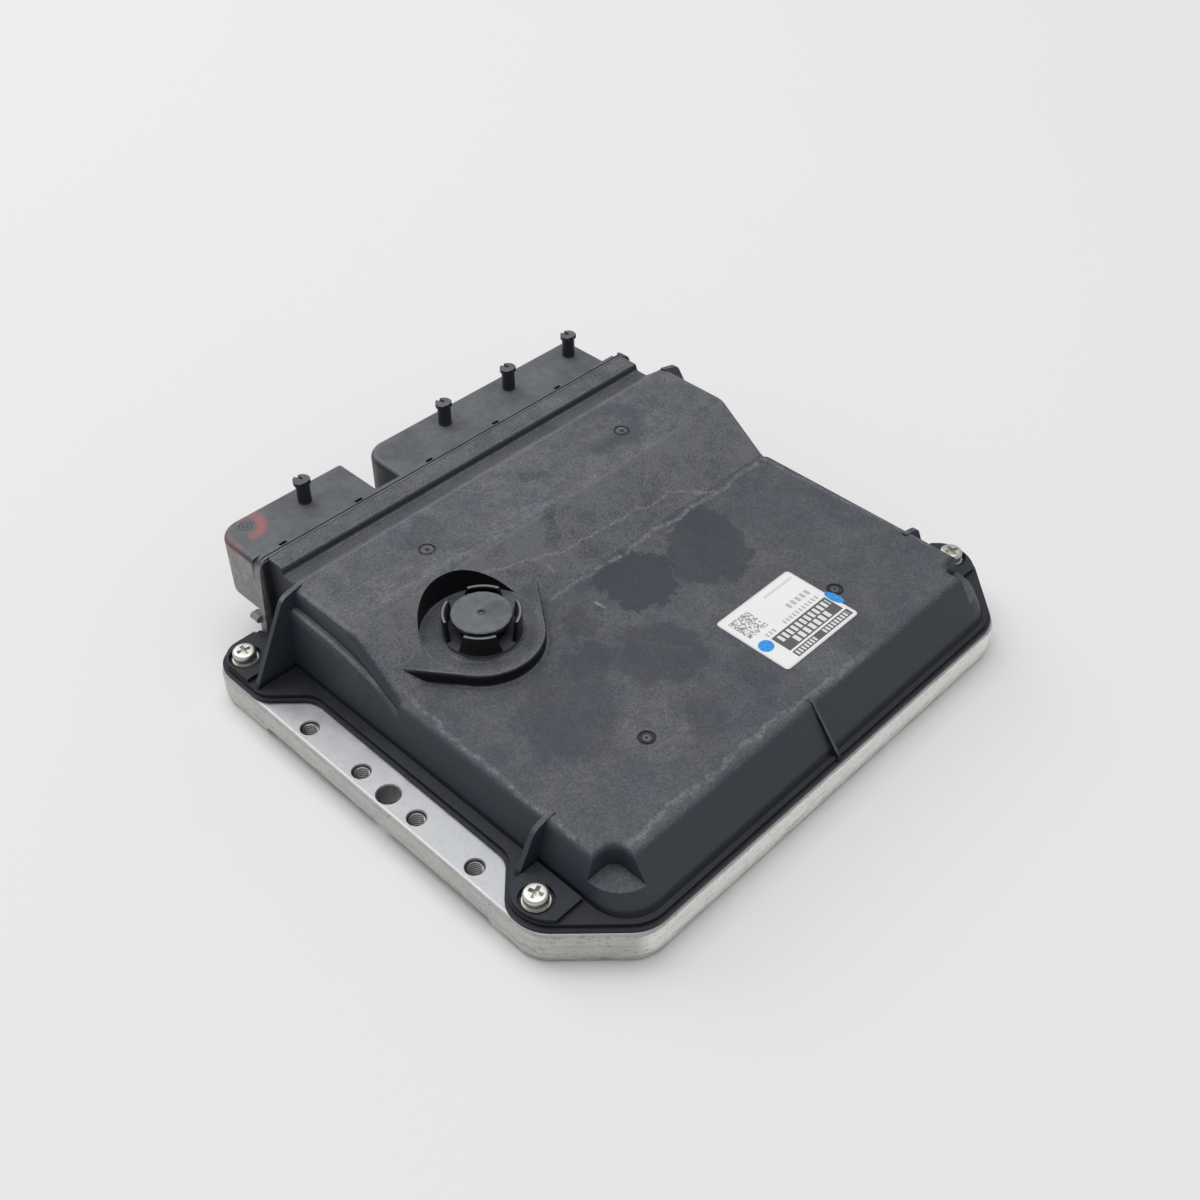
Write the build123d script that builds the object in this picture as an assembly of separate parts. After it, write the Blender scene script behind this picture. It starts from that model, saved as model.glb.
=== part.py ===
# Engine control unit: a die-cast metal tray, a moulded plastic cover screwed onto it at
# four corner lugs, and a plug header with two shrouds clamped between them.
# Millimetres. X runs along the header, Y points out of the plug bays, Z is up from the
# surface that the tray stands on. The origin is below the middle of the case.
import os
from math import cos, radians, sin, sqrt, tan

from build123d import *

os.makedirs("parts", exist_ok=True)

# Case
CASE_HALF_X = 114.0
CASE_NEAR_Y = -101.6
CASE_REAR_Y = 80.5
CORNER_CUT = 24.6
CORNER_ROUND = 14.0
REAR_CORNER_ROUND = 9.5
LUG_REACH = 13.6

# Tray
TRAY_HEIGHT = 13.1
TRAY_FLOOR = 3.0
TRAY_WALL = 3.2
TRAY_INNER_ROUND = 12.0
BOARD_LEDGE = 3.5
TRAY_RIM_ROUND = 1.6
TRAY_FOOT_DRAFT = 0.8
TRAY_FOOT_HEIGHT = 3.0
ARM_UNDERCUT = 4.4
ARM_PAD_LENGTH = 7.5
ARM_GAP_REACH = 10.5
RELIEF_DEPTH = 1.2
RELIEF_BORDER = 9.0
RELIEF_RIB = 2.4
RELIEF_PITCH = 26.0

# Screws of the cover
SCREW_SIDE_EDGE = 8.4
SCREW_NEAR_EDGE = 30.7
SCREW_REAR_EDGE = 9.6
PAD_RISE = 1.5
PAD_HALF = 9.5
SCREW_SINK_R = 5.6
SCREW_SHANK_R = 2.0
SCREW_HEAD_R = 4.0
SCREW_HEAD_T = 2.7
SCREW_HEAD_EDGE = 1.0
SCREW_LENGTH = 13.0
FLAT_WASHER_R = 4.4
FLAT_WASHER_T = 0.8
SPRING_WASHER_R = 3.7
SPRING_WASHER_T = 1.1
SPRING_WASHER_GAP = 0.8
WASHER_CLEARANCE = 0.15
SLEEVE_R = 3.6
SLEEVE_CLEARANCE = 0.2
DRIVE_SLOT = 0.9
DRIVE_SPAN = 4.4
DRIVE_DEPTH = 1.7
SCREW_X = CASE_HALF_X - SCREW_SIDE_EDGE
SCREW_NEAR_Y = CASE_NEAR_Y + SCREW_NEAR_EDGE
SCREW_REAR_Y = CASE_REAR_Y - SCREW_REAR_EDGE

# Cover flange
COVER_SETBACK = 0.8
FLANGE_T = 2.9
FLANGE_DRAFT = 1.1
FLANGE_HALF_X = CASE_HALF_X - LUG_REACH
NEAR_LUG_LENGTH = 18.4
REAR_LUG_LENGTH = 30.4
JOG_ROUND = 9.0
JOG_NEAR_Y = SCREW_NEAR_Y + NEAR_LUG_LENGTH
JOG_REAR_Y = SCREW_REAR_Y - REAR_LUG_LENGTH
FLANGE_TOP_Z = TRAY_HEIGHT + FLANGE_T
LUG_HALF_X = CASE_HALF_X - COVER_SETBACK
COVER_NEAR_Y = CASE_NEAR_Y + COVER_SETBACK

# Fixing holes in the left arm
ARM_HOLE_EDGE = 5.7
ARM_HOLE_INNER = 13.4
ARM_HOLE_END = 6.5
ARM_HOLE_SHIFT = 1.3
THREAD_R = 3.0
LOCATING_R = 3.9
HOLE_EDGE = 0.35
ARM_HOLE_X = CASE_HALF_X - ARM_HOLE_EDGE
ARM_HOLE_MID_Y = (JOG_NEAR_Y + JOG_REAR_Y) / 2 - ARM_HOLE_SHIFT
ARM_HOLE_OUTER = (JOG_REAR_Y - JOG_NEAR_Y) / 2 - ARM_HOLE_END

# Cover body
COVER_WALL = 2.4
FLANGE_STRIP = 4.9
SIDE_LEAN = 4.1
NEAR_STRIP = 3.6
NEAR_LEAN = 10.8
BODY_CORNER_FOOT = 14.0
BODY_CORNER_TOP = 9.0
LOW_HEIGHT = 16.0
STEP_HEIGHT = 15.7
SLOPE_FOOT_Y = 6.0
SLOPE_LENGTH = 22.0
FOLD_ROUND = 6.0
LOW_EDGE_ROUND = 3.0
HIGH_EDGE_ROUND = 4.0
HIGH_REAR_ROUND = 2.4
BODY_FOOT_HALF_X = FLANGE_HALF_X - FLANGE_STRIP
BODY_TOP_HALF_X = BODY_FOOT_HALF_X - SIDE_LEAN
BODY_FOOT_NEAR_Y = CASE_NEAR_Y + NEAR_STRIP
BODY_TOP_NEAR_Y = BODY_FOOT_NEAR_Y + NEAR_LEAN
LOW_TOP_Z = FLANGE_TOP_Z + LOW_HEIGHT
HIGH_TOP_Z = LOW_TOP_Z + STEP_HEIGHT
SLOPE_HEAD_Y = SLOPE_FOOT_Y + SLOPE_LENGTH

# Shoulders beside the high body: places along Y and heights above the low top
SHOULDER_LEAN = 1.5
SHOULDER_ROUND = 3.0
SHOULDER_FADE_Y = SLOPE_FOOT_Y - 6.0
SHOULDER_FULL_Y = SLOPE_FOOT_Y + 18.0
SHOULDER_FADE_DROP = 6.6
SHOULDER_CREST = ((2.0, -2.8), (10.0, 1.9), (16.0, 4.8), (23.0, 7.0), (34.0, 8.3))
SHOULDER_REAR_RISE = 9.5
SHOULDER_HALF_X = BODY_FOOT_HALF_X - SHOULDER_LEAN

# Groove and ridge over the header
PLATE_T = 3.5
RIDGE_LENGTH = 7.0
RIDGE_SLANT = 1.0
RIDGE_DROP = 1.7
GROOVE_LENGTH = 5.0
GROOVE_SLANT = 6.0
GROOVE_DROP = 4.9
GROOVE_ROUND = 1.5
REAR_SETBACK = 4.9
REAR_END_ROUND = 3.0
RIDGE_ROUND = 2.4
RIDGE_END_ROUND = 1.2
RIDGE_REAR_Y = CASE_REAR_Y - PLATE_T
RIDGE_NEAR_Y = RIDGE_REAR_Y - RIDGE_LENGTH
GROOVE_REAR_Y = RIDGE_NEAR_Y - RIDGE_SLANT
GROOVE_NEAR_Y = GROOVE_REAR_Y - GROOVE_LENGTH
HIGH_REAR_Y = GROOVE_NEAR_Y - GROOVE_SLANT
GROOVE_Z = HIGH_TOP_Z - GROOVE_DROP
RIDGE_Z = HIGH_TOP_Z - RIDGE_DROP
REAR_HALF_X = BODY_TOP_HALF_X - REAR_SETBACK

# Corner pockets in the cover
POCKET_LENGTH = 8.4
POCKET_WIDTH = 7.2
POCKET_DEPTH = 9.0
POCKET_ROUND = 4.0
POCKET_EDGE_ROUND = 2.4
POCKET_X = BODY_TOP_HALF_X - POCKET_LENGTH
POCKET_Y = BODY_TOP_NEAR_Y + POCKET_WIDTH
POCKET_Z = LOW_TOP_Z - POCKET_DEPTH

# Gussets on the cover
GUSSET_T = 1.8
GUSSET_PROUD = 0.7
GUSSET_SINK = 3.5
GUSSET_SHOULDER = 4.6
GUSSET_TOP_DROP = 1.2
GUSSET_ROUND = 5.0
REAR_GUSSET_BACK = 1.0
NEAR_GUSSET_BACK = 7.7
REAR_GUSSET_EDGE = 1.2
NEAR_GUSSET_REACH = 3.6
MIDDLE_GUSSET_REACH = 2.4
MIDDLE_GUSSET_SINK = 6.0
REAR_GUSSET_Y = HIGH_REAR_Y - REAR_GUSSET_BACK
NEAR_GUSSET_Y = JOG_NEAR_Y - NEAR_GUSSET_BACK

# Vent seat
VENT_SIDE_GAP = 37.6
SEAT_R = 20.8
SEAT_RISE = 5.0
SEAT_FOOT = 11.0
SEAT_TIP_X = 28.0
SEAT_TIP_Y = 5.5
SEAT_TIP_R = 1.7
SEAT_EDGE_ROUND = 1.3
SEAT_HOLE_R = 6.0
VENT_X = VENT_SIDE_GAP - BODY_TOP_HALF_X
VENT_Y = SLOPE_FOOT_Y + 1.0
SEAT_Z = LOW_TOP_Z + SEAT_RISE

# Round marks on the cover top
MARK_X = 47.5
MARK_HIGH_Y = SLOPE_HEAD_Y + 13.0
MARK_LOW_Y = BODY_TOP_NEAR_Y + 26.9
MARK_R = 2.9
MARK_DEPTH = 0.3
MARK_WIDTH = 0.7

# Seal bead between tray and cover
SEAL_WIDTH = 2.4
SEAL_DEPTH = 1.8
SEAL_SIDE_EDGE = 3.1
SEAL_NEAR_EDGE = 4.2
SEAL_REAR_INSET = 1.4
SEAL_CORNER_CUT = 10.6
SEAL_ROUND = 6.0
SEAL_SIDE_X = FLANGE_HALF_X - SEAL_SIDE_EDGE
SEAL_NEAR_Y = CASE_NEAR_Y + SEAL_NEAR_EDGE

# Plug header
PLATE_PROUD = 3.9
PLATE_DRAFT = 2.0
PLATE_ROUND = 4.5
PLATE_TOP_DROP = 0.3
TAB_LENGTH = 4.0
TAB_PROUD = 1.6
TAB_REACH = 3.0
TAB_LOW_RISE = 5.7
TAB_HEIGHT = 2.8
TAB_ROUND = 1.3
PLATE_SLOT_COUNT = 6
PLATE_SLOT_LEFT = 12.4
PLATE_SLOT_RIGHT = 4.9
PLATE_SLOT_LENGTH = 3.0
PLATE_SLOT_WIDTH = 1.3
PLATE_SLOT_BACK = 1.0
PLATE_SLOT_DEPTH = 1.2
PLATE_LINE_BACK = 2.0
PLATE_LINE_WIDTH = 0.5
PLATE_LINE_DEPTH = 0.7
PLUG_BODY_INSET = 3.5
PLUG_BODY_DROP = 6.6
PLUG_BODY_DEPTH = 5.0
PLATE_SEAL_WIDTH = 2.0
PLATE_SEAL_DEPTH = 1.2
PLATE_SEAL_DROP = 0.4
SHROUD_HEIGHT = 22.7
SHROUD_LENGTH = 21.9
SHROUD_WALL = 2.0
SHROUD_EDGE_ROUND = 2.2
SHROUD_FOOT_ROUND = 3.0
SHROUD_LEFT_EDGE = 1.4
SHROUD_RIGHT_EDGE = 10.7
SHORT_SHROUD_RIGHT_X = -36.0
SHROUD_GAP = 9.5
PARTITION_SHIFT = 0.6
SHROUD_CORNER_ROUND = 9.0
SHROUD_SHARP_ROUND = 1.2
SHORT_PEG_EDGE = 22.6
LONG_PEG_LEFT = 33.3
LONG_PEG_RIGHT = 7.5
PEG_FRONT_EDGE = 9.0
PEG_R = 2.5
PEG_HEIGHT = 9.3
PEG_HEAD_R = 3.1
PEG_HEAD_T = 1.6
PEG_HEAD_FLAT = 2.2
PEG_NOTCH_WIDTH = 1.4
PEG_NOTCH_DEPTH = 0.8
BAY_DEPTH = 18.0
PLATE_TOP_HALF_X = REAR_HALF_X + PLATE_PROUD
PLATE_FOOT_HALF_X = PLATE_TOP_HALF_X + PLATE_DRAFT
PLATE_TOP_Z = RIDGE_Z - PLATE_TOP_DROP
PLATE_FRONT_Y = RIDGE_REAR_Y + PLATE_T
PLUG_BODY_HALF_X = REAR_HALF_X - PLUG_BODY_INSET
PLUG_BODY_TOP_Z = RIDGE_Z - PLUG_BODY_DROP
SHROUD_TOP_Z = PLATE_TOP_Z
SHROUD_BOTTOM_Z = SHROUD_TOP_Z - SHROUD_HEIGHT
SHROUD_FRONT_Y = PLATE_FRONT_Y + SHROUD_LENGTH
SHORT_SHROUD_LEFT_X = SHROUD_LEFT_EDGE - PLATE_FOOT_HALF_X
LONG_SHROUD_LEFT_X = SHORT_SHROUD_RIGHT_X + SHROUD_GAP
LONG_SHROUD_RIGHT_X = PLATE_TOP_HALF_X - SHROUD_RIGHT_EDGE
LONG_PARTITION_X = (LONG_SHROUD_LEFT_X + LONG_SHROUD_RIGHT_X) / 2 - PARTITION_SHIFT
PEG_Y = SHROUD_FRONT_Y - PEG_FRONT_EDGE

# Circuit board
BOARD_T = 1.6
BOARD_LID_GAP = 5.1
BOARD_GAP = 1.0
BOARD_SCREW_SIDE = 6.4
BOARD_SCREW_NEAR = 5.5
BOARD_SCREW_REAR = 20.2
BOARD_SCREW_MID_Y = -8.0
BOARD_SCREW_R = 1.5
BOARD_SCREW_HEAD_R = 2.8
BOARD_SCREW_HEAD_T = 1.6
BOARD_SCREW_LENGTH = 7.0
BOARD_BOSS_R = 4.5
THERMAL_PAD_T = 1.0
BOARD_Z = TRAY_HEIGHT - BOARD_LID_GAP
BOARD_TOP_Z = BOARD_Z + BOARD_T
TRAY_INNER_X = SEAL_SIDE_X - SEAL_WIDTH / 2 - TRAY_WALL
TRAY_INNER_NEAR_Y = SEAL_NEAR_Y + SEAL_WIDTH / 2 + TRAY_WALL
TRAY_INNER_REAR_Y = RIDGE_REAR_Y - SEAL_REAR_INSET - SEAL_WIDTH / 2 - TRAY_WALL
BOARD_HALF_X = TRAY_INNER_X - BOARD_GAP
BOARD_NEAR_Y = TRAY_INNER_NEAR_Y + BOARD_GAP
BOARD_REAR_Y = TRAY_INNER_REAR_Y - BOARD_GAP

# Contact pins
PIN_SIZE = 0.8
PIN_TIP_BACK = 9.5
PIN_ROW_COUNT = 3
PIN_ROW_FIRST = 5.4
PIN_ROW_STEP = 4.4
PIN_PITCH = 3.5
PIN_MARGIN = 6.0
PIN_TAIL_EDGE = 3.7
PIN_TAIL_STEP = 3.2
BLADE_WIDTH = 2.0

# Label
LABEL_LEFT_X = 5.5
LABEL_NEAR_EDGE = 14.0
LABEL_LENGTH = 38.0
LABEL_WIDTH = 30.8
LABEL_T = 0.15
LABEL_ROUND = 1.5

# Vent plug
GUARD_R = 13.2
GUARD_WALL = 1.5
GUARD_RING_T = 1.2
GUARD_HEIGHT = 8.4
GUARD_FOOT_DEGREES = 68.0
GUARD_TOP_DEGREES = 48.0
CAP_R = 10.15
CAP_T = 1.6
CAP_TOP = 8.2
CAP_STEM_R = 5.0
CAP_SIDES = 20
CAP_DIMPLE_R = 0.9
CAP_DIMPLE_DEPTH = 0.5
VENT_NECK_R = 7.8
VENT_NECK_HEIGHT = 5.0
VENT_RING_T = 1.6
MEMBRANE_R = 4.6
MEMBRANE_T = 0.3
VENT_SPIGOT_DEPTH = 3.6

# Electronic parts on the board
CHIP_HEIGHT = 2.0
MICRO_SIZE = 24.0
DRIVER_LENGTH = 14.0
DRIVER_WIDTH = 8.0
INDUCTOR_SIZE = 13.0
INDUCTOR_HEIGHT = 8.0
CAPACITOR_R = 5.0
CAPACITOR_HEIGHT = 22.0
CAPACITOR_BASE = 1.6
CAPACITOR_EDGE = 0.8
CAPACITOR_PITCH = 12.0
SMALL_LENGTH = 3.2
SMALL_WIDTH = 1.6
SMALL_HEIGHT = 1.2
SMALL_PITCH = 4.2
DIODE_LENGTH = 6.8
DIODE_WIDTH = 5.8
DIODE_HEIGHT = 2.4
DIODE_PITCH = 14.0
POWER_LENGTH = 16.0
POWER_WIDTH = 12.0
POWER_PITCH = 26.0
POWER_HEIGHT = 3.4
POWER_TAB_T = 0.5
POWER_SIDE_EDGE = 29.9
POWER_NEAR_EDGE = 40.0
POWER_RIGHT_BACK = 30.0
CHIP_GAP = 6.0
CHIP_ROW_GAP = 7.0
CAPACITOR_SIDE_EDGE = 15.0
DRIVER_REAR_EDGE = 34.0
DRIVER_COUNT = 4
COIL_PITCH = 22.0
LEFT_CAPACITOR_COUNT = 3
DRIVER_LEFT_GAP = 14.9
DRIVER_ROW_PITCH = 28.0
POWER_X = BOARD_HALF_X - POWER_SIDE_EDGE
MEMORY_X = POWER_X - POWER_LENGTH / 2 - CHIP_GAP - MICRO_SIZE / 4
MICRO_X = MEMORY_X - MICRO_SIZE / 4 - CHIP_GAP - MICRO_SIZE / 2
CAPACITOR_X = BOARD_HALF_X - CAPACITOR_SIDE_EDGE

# How near an edge's middle lies to the place where it is looked for
NEAR_BY = 0.1

SLOPE_RISE = (HIGH_TOP_Z - LOW_TOP_Z) / (SLOPE_HEAD_Y - SLOPE_FOOT_Y)


def block(x_range, y_range, z_range):
    """A box between two limits on each axis."""
    sizes = [high - low for low, high in (x_range, y_range, z_range)]
    centre = [(high + low) / 2 for low, high in (x_range, y_range, z_range)]
    return Pos(*centre) * Box(*sizes)


def drum(radius, x, y, low, high):
    """An upright cylinder."""
    return Pos(x, y, low) * Cylinder(radius, high - low, align=(Align.CENTER, Align.CENTER, Align.MIN))


def outline(points, radii):
    """A closed face with straight sides and one corner radius for each point."""
    return make_face(FilletPolyline(*points, radius=radii, close=True))


def slab(points, radii, low, high):
    """An outline in plan, extruded upwards."""
    return Pos(0, 0, low) * extrude(outline(points, radii), high - low)


def along_x(points, radii, low, high):
    """An outline in the Y and Z directions, extruded along X."""
    return extrude(Plane.YZ.offset(low) * outline(points, radii), high - low)


def along_y(points, radii, low, high):
    """An outline in the X and Z directions, extruded along Y."""
    return extrude(Plane.XZ.offset(-high) * outline(points, radii), high - low)


def both_sides(shape):
    """The shape and its mirror image across the middle of the case."""
    return shape + mirror(shape, about=Plane.YZ)


def group(solids):
    """Separate solids kept together under one name."""
    return Compound(children=list(solids))


def screw_places():
    """The four corner screws of the cover."""
    return [(x, y) for x in (-SCREW_X, SCREW_X) for y in (SCREW_NEAR_Y, SCREW_REAR_Y)]


def tray_outline():
    """Plan of the tray: an arm along the left side, two lugs on the right."""
    lug = CASE_HALF_X
    side = FLANGE_HALF_X + COVER_SETBACK
    reach = lug - side
    points = [
        (-lug, CASE_REAR_Y),
        (-lug, CASE_NEAR_Y + CORNER_CUT),
        (-lug + CORNER_CUT, CASE_NEAR_Y),
        (lug - CORNER_CUT, CASE_NEAR_Y),
        (lug, CASE_NEAR_Y + CORNER_CUT),
        (lug, JOG_NEAR_Y - reach),
        (side, JOG_NEAR_Y),
        (side, JOG_REAR_Y),
        (lug, JOG_REAR_Y + reach),
        (lug, CASE_REAR_Y),
    ]
    radii = [REAR_CORNER_ROUND] + [CORNER_ROUND] * 4 + [JOG_ROUND] * 4 + [REAR_CORNER_ROUND]
    return points, radii


def corner_leg(leg, inset):
    """Leg of a 45 degree corner cut once the outline has moved inwards."""
    return leg - inset * (2 - sqrt(2))


def seal_slab(inset, low, high):
    """The seal's loop, filled, at an inset from its middle line: near corners cut at 45 degrees."""
    half_x = SEAL_SIDE_X - inset
    near = SEAL_NEAR_Y + inset
    rear = RIDGE_REAR_Y - SEAL_REAR_INSET - inset
    leg = corner_leg(SEAL_CORNER_CUT, inset)
    points = [
        (-half_x, rear),
        (-half_x, near + leg),
        (-half_x + leg, near),
        (half_x - leg, near),
        (half_x, near + leg),
        (half_x, rear),
    ]
    return slab(points, [SEAL_ROUND - inset] * 6, low, high)


def seal_loop(low, high):
    return seal_slab(-SEAL_WIDTH / 2, low, high) - seal_slab(SEAL_WIDTH / 2, low, high)


def rectangle_points(half_x, near, rear):
    return [(-half_x, near), (half_x, near), (half_x, rear), (-half_x, rear)]


def board_screw_places():
    x = BOARD_HALF_X - BOARD_SCREW_SIDE
    ys = (BOARD_NEAR_Y + BOARD_SCREW_NEAR, BOARD_SCREW_MID_Y, BOARD_REAR_Y - BOARD_SCREW_REAR)
    return [(side, y) for side in (-x, x) for y in ys]


def power_places():
    """Power parts over pedestals of the tray: a row near the front and two at the right."""
    near = BOARD_NEAR_Y + POWER_NEAR_EDGE
    row = [(index * POWER_PITCH - POWER_X, near) for index in range(3)]
    back = near + POWER_RIGHT_BACK
    return row + [(POWER_X, back), (POWER_X, back + POWER_PITCH)]


def power_block(x, y, low, high):
    """A block as large as a power part's place."""
    x_range = (x - POWER_LENGTH / 2, x + POWER_LENGTH / 2)
    return block(x_range, (y - POWER_WIDTH / 2, y + POWER_WIDTH / 2), (low, high))


def make_tray():
    """Die-cast tray with an arm of fixing holes along the left side."""
    points, radii = tray_outline()
    tray = slab(points, radii, 0, TRAY_HEIGHT)
    foot = tray.faces().sort_by(Axis.Z)[0]
    tray = chamfer(foot.edges(), length=TRAY_FOOT_DRAFT, length2=TRAY_FOOT_HEIGHT, reference=foot)
    rim = tray.faces().sort_by(Axis.Z)[-1]
    tray = fillet(rim.edges(), TRAY_RIM_ROUND)
    hollow = rectangle_points(TRAY_INNER_X, TRAY_INNER_NEAR_Y, TRAY_INNER_REAR_Y)
    deep = rectangle_points(
        TRAY_INNER_X - BOARD_LEDGE, TRAY_INNER_NEAR_Y + BOARD_LEDGE, TRAY_INNER_REAR_Y - BOARD_LEDGE
    )
    tray -= slab(hollow, [TRAY_INNER_ROUND] * 4, BOARD_Z, TRAY_HEIGHT)
    tray -= slab(deep, [TRAY_INNER_ROUND - BOARD_LEDGE] * 4, TRAY_FLOOR, TRAY_HEIGHT)
    for x, y in board_screw_places():
        tray += drum(BOARD_BOSS_R, x, y, TRAY_FLOOR / 2, BOARD_Z)
    for x, y in power_places():
        tray += power_block(x, y, TRAY_FLOOR / 2, BOARD_Z - THERMAL_PAD_T)
    tray -= seal_loop(TRAY_HEIGHT - SEAL_DEPTH, TRAY_HEIGHT)
    # The arm is thinner than the corner pads.
    arm_inner = SEAL_SIDE_X + SEAL_WIDTH
    gap_near = JOG_NEAR_Y - ARM_PAD_LENGTH
    gap_rear = JOG_REAR_Y + ARM_GAP_REACH
    gap = block((-CASE_HALF_X, -arm_inner), (gap_near, gap_rear), (0, ARM_UNDERCUT))
    tray -= fillet(gap.edges().filter_by(Axis.X).group_by(Axis.Z)[-1], ARM_UNDERCUT / 2)
    # A shallow relief below the floor, with cast ribs across it.
    half = TRAY_INNER_X - RELIEF_BORDER
    near = TRAY_INNER_NEAR_Y + RELIEF_BORDER
    rear = TRAY_INNER_REAR_Y - RELIEF_BORDER
    relief = slab(rectangle_points(half, near, rear), [SEAL_ROUND] * 4, 0, RELIEF_DEPTH)
    rib_count = int(2 * half / RELIEF_PITCH)
    for index in range(rib_count):
        x = (index - (rib_count - 1) / 2) * RELIEF_PITCH
        relief -= block((x - RELIEF_RIB / 2, x + RELIEF_RIB / 2), (near, rear), (0, RELIEF_DEPTH))
    tray -= relief
    for offset in (-ARM_HOLE_OUTER, -ARM_HOLE_INNER, ARM_HOLE_INNER, ARM_HOLE_OUTER):
        tray -= eased_hole(THREAD_R, -ARM_HOLE_X, ARM_HOLE_MID_Y + offset, ARM_UNDERCUT, TRAY_HEIGHT)
    tray -= eased_hole(LOCATING_R, -ARM_HOLE_X, ARM_HOLE_MID_Y, ARM_UNDERCUT, TRAY_HEIGHT)
    for x, y in screw_places():
        tray -= drum(SCREW_SHANK_R, x, y, screw_seat_z() - SCREW_LENGTH, TRAY_HEIGHT)
    for x, y in board_screw_places():
        tray -= drum(BOARD_SCREW_R, x, y, BOARD_TOP_Z - BOARD_SCREW_LENGTH, BOARD_Z)
    return tray


def eased_hole(radius, x, y, low, high):
    """A through hole with a small chamfer at its top."""
    cone = Cone(radius, radius + HOLE_EDGE, HOLE_EDGE, align=(Align.CENTER, Align.CENTER, Align.MAX))
    return drum(radius, x, y, low, high) + Pos(x, y, high) * cone


def screw_seat_z():
    """Top of the sleeves, where the flat washers sit."""
    return FLANGE_TOP_Z


def flange_outline(inset):
    """Plan of the cover's flange: wide at the lugs, narrow beside the arms' holes."""
    lug = LUG_HALF_X - inset
    side = FLANGE_HALF_X - inset
    near = COVER_NEAR_Y + inset
    rear = PLATE_FRONT_Y - inset
    notch = PLATE_FOOT_HALF_X + SLEEVE_CLEARANCE + inset
    reach = LUG_HALF_X - FLANGE_HALF_X
    cut = corner_leg(CORNER_CUT, inset)
    slant = inset * tan(radians(22.5))
    left = [
        (-notch, RIDGE_REAR_Y),
        (-notch, rear),
        (-lug, rear),
        (-lug, JOG_REAR_Y + reach + slant),
        (-side, JOG_REAR_Y + slant),
        (-side, JOG_NEAR_Y - slant),
        (-lug, JOG_NEAR_Y - reach - slant),
        (-lug, near + cut),
        (-lug + cut, near),
    ]
    right = [(-x, y) for x, y in reversed(left)]
    round_left = [0, 0, REAR_CORNER_ROUND - inset]
    round_left += [JOG_ROUND] * 4
    round_left += [CORNER_ROUND, CORNER_ROUND]
    return left + right, round_left + round_left[::-1]


def wall_half_x(z):
    """Half width of the low body at a height: its side walls lean in."""
    lean = (BODY_FOOT_HALF_X - BODY_TOP_HALF_X) / (LOW_TOP_Z - FLANGE_TOP_Z)
    return BODY_FOOT_HALF_X - (z - FLANGE_TOP_Z) * lean


def wall_near_y(z):
    """Near wall of the low body at a height: it leans in more than the side walls."""
    lean = (BODY_TOP_NEAR_Y - BODY_FOOT_NEAR_Y) / (LOW_TOP_Z - FLANGE_TOP_Z)
    return BODY_FOOT_NEAR_Y + (z - FLANGE_TOP_Z) * lean


def low_body_section(z, inset):
    """Plan of the low body at one height."""
    half_x = wall_half_x(z) - inset
    near = wall_near_y(z) + inset
    rear = SLOPE_FOOT_Y + 1.0 - inset
    share = (z - FLANGE_TOP_Z) / (LOW_TOP_Z - FLANGE_TOP_Z)
    near_round = BODY_CORNER_FOOT + (BODY_CORNER_TOP - BODY_CORNER_FOOT) * share - inset
    radii = [near_round, near_round, LOW_EDGE_ROUND, LOW_EDGE_ROUND]
    face = outline(rectangle_points(half_x, near, rear), radii)
    return Pos(0, 0, z) * face


def slope_profile(inset):
    """Front of the side view of the high body, up to the head of the slope."""
    turn = inset * tan(radians(18))
    points = [
        (SLOPE_FOOT_Y - FOLD_ROUND, TRAY_HEIGHT),
        (SLOPE_FOOT_Y - FOLD_ROUND, LOW_TOP_Z - inset),
        (SLOPE_FOOT_Y + turn, LOW_TOP_Z - inset),
        (SLOPE_HEAD_Y + turn, HIGH_TOP_Z - inset),
    ]
    return points, [0, 0, FOLD_ROUND, FOLD_ROUND]


def high_block():
    """The high body and the ridge before the groove is cut, with soft side edges."""
    points, radii = slope_profile(0)
    points += [(GROOVE_NEAR_Y, HIGH_TOP_Z), (GROOVE_NEAR_Y, TRAY_HEIGHT)]
    front = along_x(points, radii + [0, 0], -BODY_TOP_HALF_X, BODY_TOP_HALF_X)
    front = fillet(side_top_edges(front, BODY_TOP_HALF_X), HIGH_EDGE_ROUND)
    ridge = block((-REAR_HALF_X, REAR_HALF_X), (GROOVE_NEAR_Y, RIDGE_REAR_Y), (TRAY_HEIGHT, RIDGE_Z))
    ends = ridge.edges().filter_by(Axis.Y).group_by(Axis.Z)[-1]
    return front + fillet(ends, RIDGE_END_ROUND)


def high_profile(inset):
    """Side view of the high body: slope, high top, groove and ridge."""
    points, radii = slope_profile(inset)
    points += [
        (HIGH_REAR_Y - inset / 2, HIGH_TOP_Z - inset),
        (GROOVE_NEAR_Y - inset / 2, GROOVE_Z - inset),
    ]
    radii += [HIGH_REAR_ROUND + inset / 2, GROOVE_ROUND]
    if inset:
        points += [(RIDGE_REAR_Y - inset, GROOVE_Z - inset), (RIDGE_REAR_Y - inset, TRAY_HEIGHT)]
        radii += [0, 0]
    else:
        points += [
            (GROOVE_REAR_Y, GROOVE_Z),
            (RIDGE_NEAR_Y, RIDGE_Z),
            (RIDGE_REAR_Y, RIDGE_Z),
            (RIDGE_REAR_Y, TRAY_HEIGHT),
        ]
        radii += [GROOVE_ROUND, RIDGE_ROUND, 0, 0]
    return points, radii


def shoulder_half_x(y, z):
    """Half width of the shoulders: their sides turn from the low body's lean to a steeper one."""
    share = min(1, (y - SHOULDER_FADE_Y) / (SHOULDER_FULL_Y - SHOULDER_FADE_Y))
    lean = (BODY_FOOT_HALF_X - SHOULDER_HALF_X) / (RIDGE_Z - FLANGE_TOP_Z)
    steep = BODY_FOOT_HALF_X - (z - FLANGE_TOP_Z) * lean
    return wall_half_x(z) * (1 - share) + steep * share


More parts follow.
